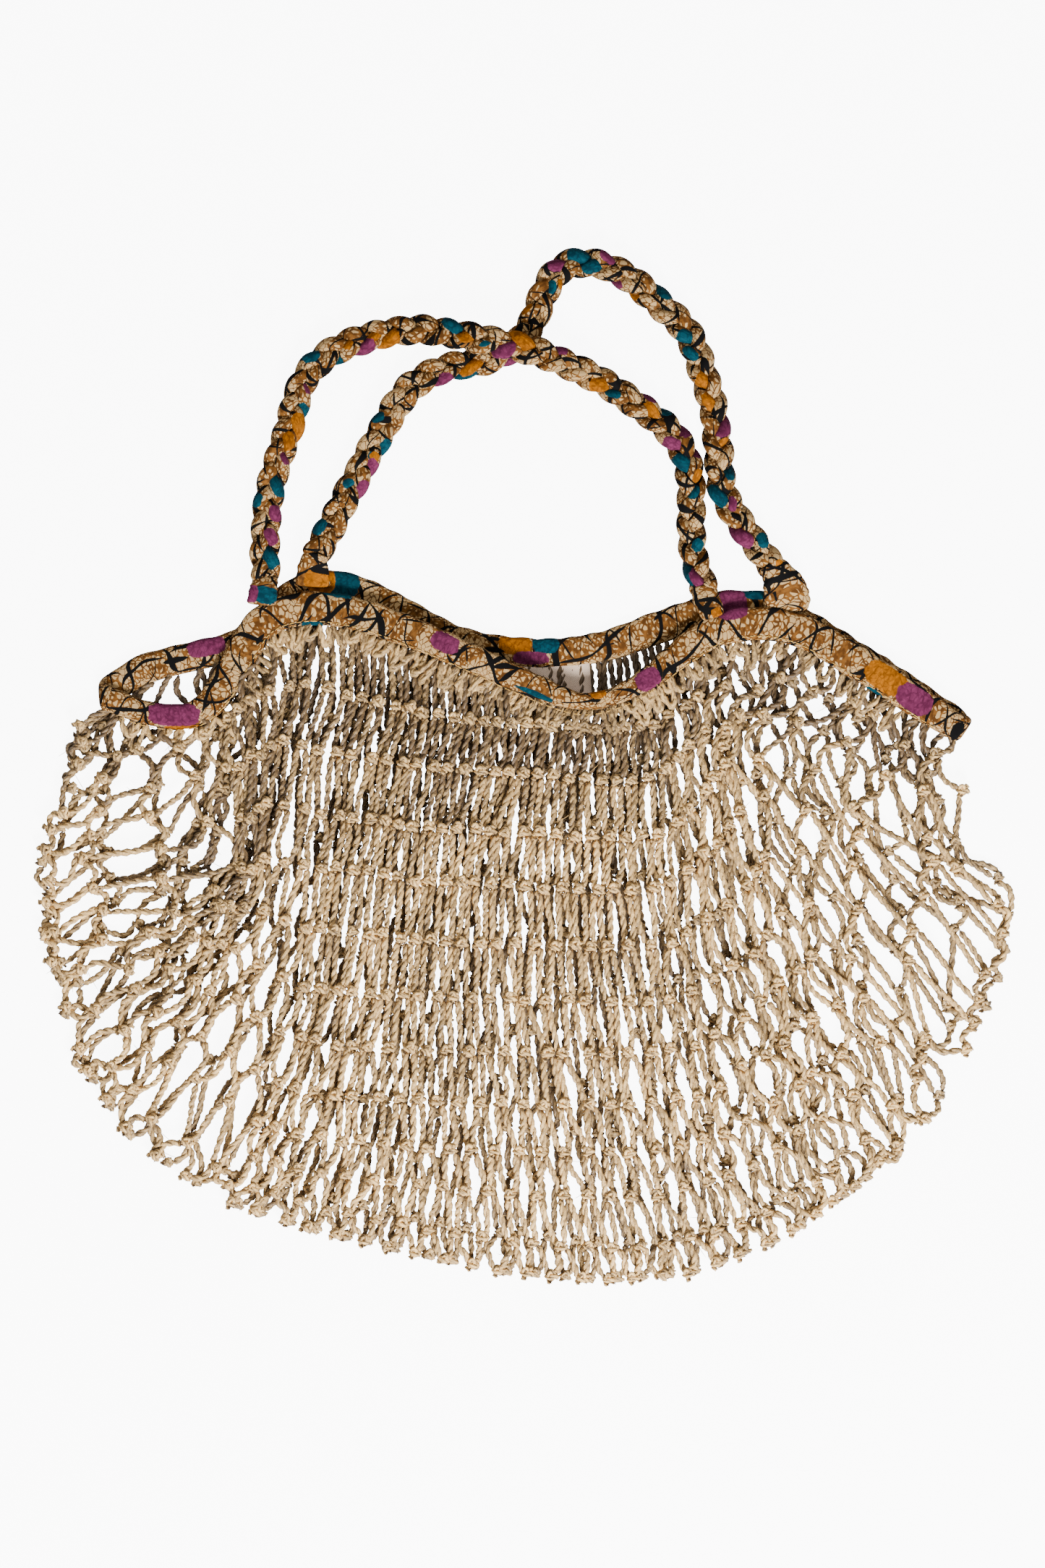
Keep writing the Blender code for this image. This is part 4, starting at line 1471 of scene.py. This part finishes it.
def make_tab(name, wraps, patches, start, material):
    """A cloth tab through its wraps: a flat strip of another width and height at each."""
    middles = [at(w.x_px, w.y_px, (w.low_mm + w.high_mm) / 2 * MM) for w in wraps]
    sizes = [(w.wide_mm * MM, (w.high_mm - w.low_mm) * MM, 0) for w in wraps]
    path = smooth_through(middles, TAB_SAMPLES)
    wide, thick, _ = smooth_through(sizes, TAB_SAMPLES).T
    level = np.gradient(path, axis=0) * (1, 1, 0)
    side = np.cross(UP, unit(level))
    rng = np.random.default_rng(round(start * 10))
    along = np.arange(len(path))[:, None] * 2.5 * MM
    aside, above = rounded_section(TAB_SIDES, 0.7)
    ridges = 1 + 0.07 * drift(along + aside[None, :] * 6 * MM, 3.5 * MM, rng)
    close = np.ones(len(path))
    close[0], close[-1] = TAB_FIRST_END, TAB_LAST_END
    across = aside[None, :] * (wide * close / 2)[:, None] * ridges
    high = above[None, :] * (thick * close / 2)[:, None] * np.where(above[None, :] > 0, ridges, 1)
    places = path[:, None] + side[:, None] * across[:, :, None] + UP * high[:, :, None]
    on_floor(places, CLOTH_CLEAR)
    dyes = new_dyes(places)
    for patch in patches:
        dye(dyes, places, (above > -0.2)[None, :] & (along >= 0), patch, unit(level[len(level) // 2]))
    long = float(np.linalg.norm(np.diff(path, axis=0), axis=1).sum())
    around = 2 * float(wide.mean() + thick.mean()) * 0.85
    return skin(f"{name}_cloth", places, dyes, long, around, material, start=start)


def make_label(material):
    """Woven tape that curls a little at its free end."""
    line = bend_line(LABEL)
    bm = bmesh.new()
    bm.loops.layers.uv.new("UVMap")
    bmesh.ops.create_grid(bm, x_segments=12, y_segments=20, size=0.5, calc_uvs=True)
    uv = bm.loops.layers.uv.active
    for face in bm.faces:
        for loop in face.loops:
            loop[uv].uv = (loop[uv].uv.x * line.length, loop[uv].uv.y * LABEL_WIDE)
    for vert in bm.verts:
        along, across = vert.co.x + 0.5, vert.co.y * 2
        curl = LABEL_CURL * along**2 * across**2
        wave = LABEL_WAVE * math.sin(across * 5 + along * 2) * along
        narrower = 1 - 0.02 * along
        place = line.point(along) + line.left_side(along) * across * narrower * LABEL_WIDE / 2
        vert.co = place + UP * (curl + wave)
    mesh = bpy.data.meshes.new("label_tape")
    bm.to_mesh(mesh)
    bm.free()
    mesh.shade_smooth()
    tape = linked("label_tape", mesh, material)
    cloth = tape.modifiers.new("Tape", "SOLIDIFY")
    cloth.thickness = LABEL_THICK
    cloth.offset = 0
    return tape


def stitch_paths(line, aside, height, first, last):
    """Running stitches along a strand of the band."""
    count = int(line.length * (last - first) / STITCH_PITCH)
    start = first + (last - first) * np.arange(count) / count
    reach = STITCH_LONG / line.length
    paths = []
    for dip in STITCH_SHAPE:
        share = np.minimum(start + reach * dip.share, 1)
        rise = UP * (height + dip.rise_mm * MM)
        paths.append(line.point(share) + line.left_side(share) * aside + rise)
    return np.stack(paths, axis=1)


front_line = bend_line(FRONT_STRAND)
back_line = bend_line(BACK_STRAND)

jute_fibres = fibre_group()
plain_weave = weave_group()
crackled_print = crackle_group()
front_jute = jute_material("Jute twine", FRONT_JUTE)
shaded_back_jute = jute_material("Jute twine, back", SHADED_BACK_JUTE)
printed_cotton = print_material()
cotton_tape = tape_material()
gold_thread = thread_material()

front_random = np.random.default_rng(11)
back_random = np.random.default_rng(23)
front_panel = Panel(front_line, front_falls(), front_height, front_random, wander=1.0 * MM)
back_panel = Panel(back_line, back_falls(), back_height, back_random, wander=1.4 * MM)

front_net = make_net(front_panel, FRONT_PIECES, leg_steps=17, knot_steps=10, material=front_jute)
back_net = make_net(back_panel, BACK_PIECES, leg_steps=12, knot_steps=5, material=shaded_back_jute)
band = subdivided(make_band(printed_cotton))
handle_cloth = {}
for node, bends, patches, start in (
    ("front_handle", FRONT_HANDLE, FRONT_HANDLE_PATCHES, 2.0),
    ("back_handle", BACK_HANDLE, BACK_HANDLE_PATCHES, 4.0),
):
    strands = make_handle(node, bend_line(bends), patches, start, printed_cotton)
    handle_cloth[node] = [subdivided(strand) for strand in strands]
tab_cloth = {}
for start, (node, wraps) in enumerate(TABS.items(), 6):
    tab_cloth[node] = subdivided(make_tab(node, wraps, TAB_PATCHES[node], start, printed_cotton))
tape = make_label(cotton_tape)
seam_stitches = stitch_paths(
    front_line, aside=BAND_WIDE * -SEAM_ASIDE / 2, height=BAND_THICK * 0.37, first=0.02, last=0.98
)
thread_random = np.random.default_rng(31)
stitches = twine_mesh(
    "band_stitches", [single(seam_stitches, thread_random, THREAD_RADIUS)], gold_thread
)

for piece in front_net:
    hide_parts("front_net")
for piece in back_net:
    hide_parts("back_net")
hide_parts("band")
for node, strands in handle_cloth.items():
    for strand in strands:
        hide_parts(node)
for node, cloth in tab_cloth.items():
    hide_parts(node)
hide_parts("label")
cotton_pieces = [band, stitches, *tab_cloth.values(), *sum(handle_cloth.values(), [])]
for piece in [*front_net, *back_net, tape, *cotton_pieces]:
    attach(piece, "root")


# Floor, light and camera


def make_floor():
    """A floor that takes shadows and looks white to the camera."""
    bm = bmesh.new()
    bmesh.ops.create_grid(bm, x_segments=1, y_segments=1, size=3)
    mesh = bpy.data.meshes.new("floor")
    bm.to_mesh(mesh)
    bm.free()
    material, shader = new_material("Pale floor")
    tree = material.node_tree
    seen = tree.nodes.new("ShaderNodeLightPath").outputs["Is Camera Ray"]
    tree.links.new(maths(tree, "MULTIPLY", seen, FLOOR_GLOW), shader.inputs["Emission Strength"])
    shader.inputs["Base Color"].default_value = (0.5, 0.5, 0.5, 1)
    shader.inputs["Roughness"].default_value = 0.9
    shader.inputs["Specular IOR Level"].default_value = 0
    shader.inputs["Emission Color"].default_value = (1, 1, 1, 1)
    floor = linked("floor", mesh, material)


def add_light(name, place, size, watts):
    light = bpy.data.lights.new(name, "AREA")
    light.shape = "SQUARE"
    light.size = size
    light.energy = watts
    lamp = bpy.data.objects.new(name, light)
    lamp.location = place
    lamp.rotation_euler = (-Vector(place)).to_track_quat("-Z", "Y").to_euler()
    bpy.context.scene.collection.objects.link(lamp)


def add_camera():
    """Straight above the photograph's middle, with its lens set to the photograph's height."""
    data = bpy.data.cameras.new("camera")
    data.sensor_width = 36
    data.lens = data.sensor_width * CAMERA_HIGH / (PHOTO_HIGH_PX * PIXEL)
    camera = bpy.data.objects.new("camera", data)
    camera.location = at(PHOTO_WIDE_PX / 2, PHOTO_HIGH_PX / 2, CAMERA_HIGH + 5 * MM)
    bpy.context.scene.collection.objects.link(camera)
    bpy.context.scene.camera = camera


def make_studio():
    """White to the camera on every side, with a little light of its own."""
    world = bpy.data.worlds.new("studio")
    world.use_nodes = True
    tree = world.node_tree
    background = tree.nodes["Background"]
    background.inputs["Color"].default_value = (1, 1, 1, 1)
    seen = tree.nodes.new("ShaderNodeLightPath").outputs["Is Camera Ray"]
    strength = maths(tree, "ADD", maths(tree, "MULTIPLY", seen, STUDIO_GLOW), STUDIO_LIGHT)
    tree.links.new(strength, background.inputs["Strength"])
    bpy.context.scene.world = world


make_floor()
make_studio()
add_light("window", place=(0.35, -1.15, 1.1), size=0.55, watts=88)
add_light("fill", place=(-0.7, 0.8, 1.6), size=1.6, watts=13)
add_camera()
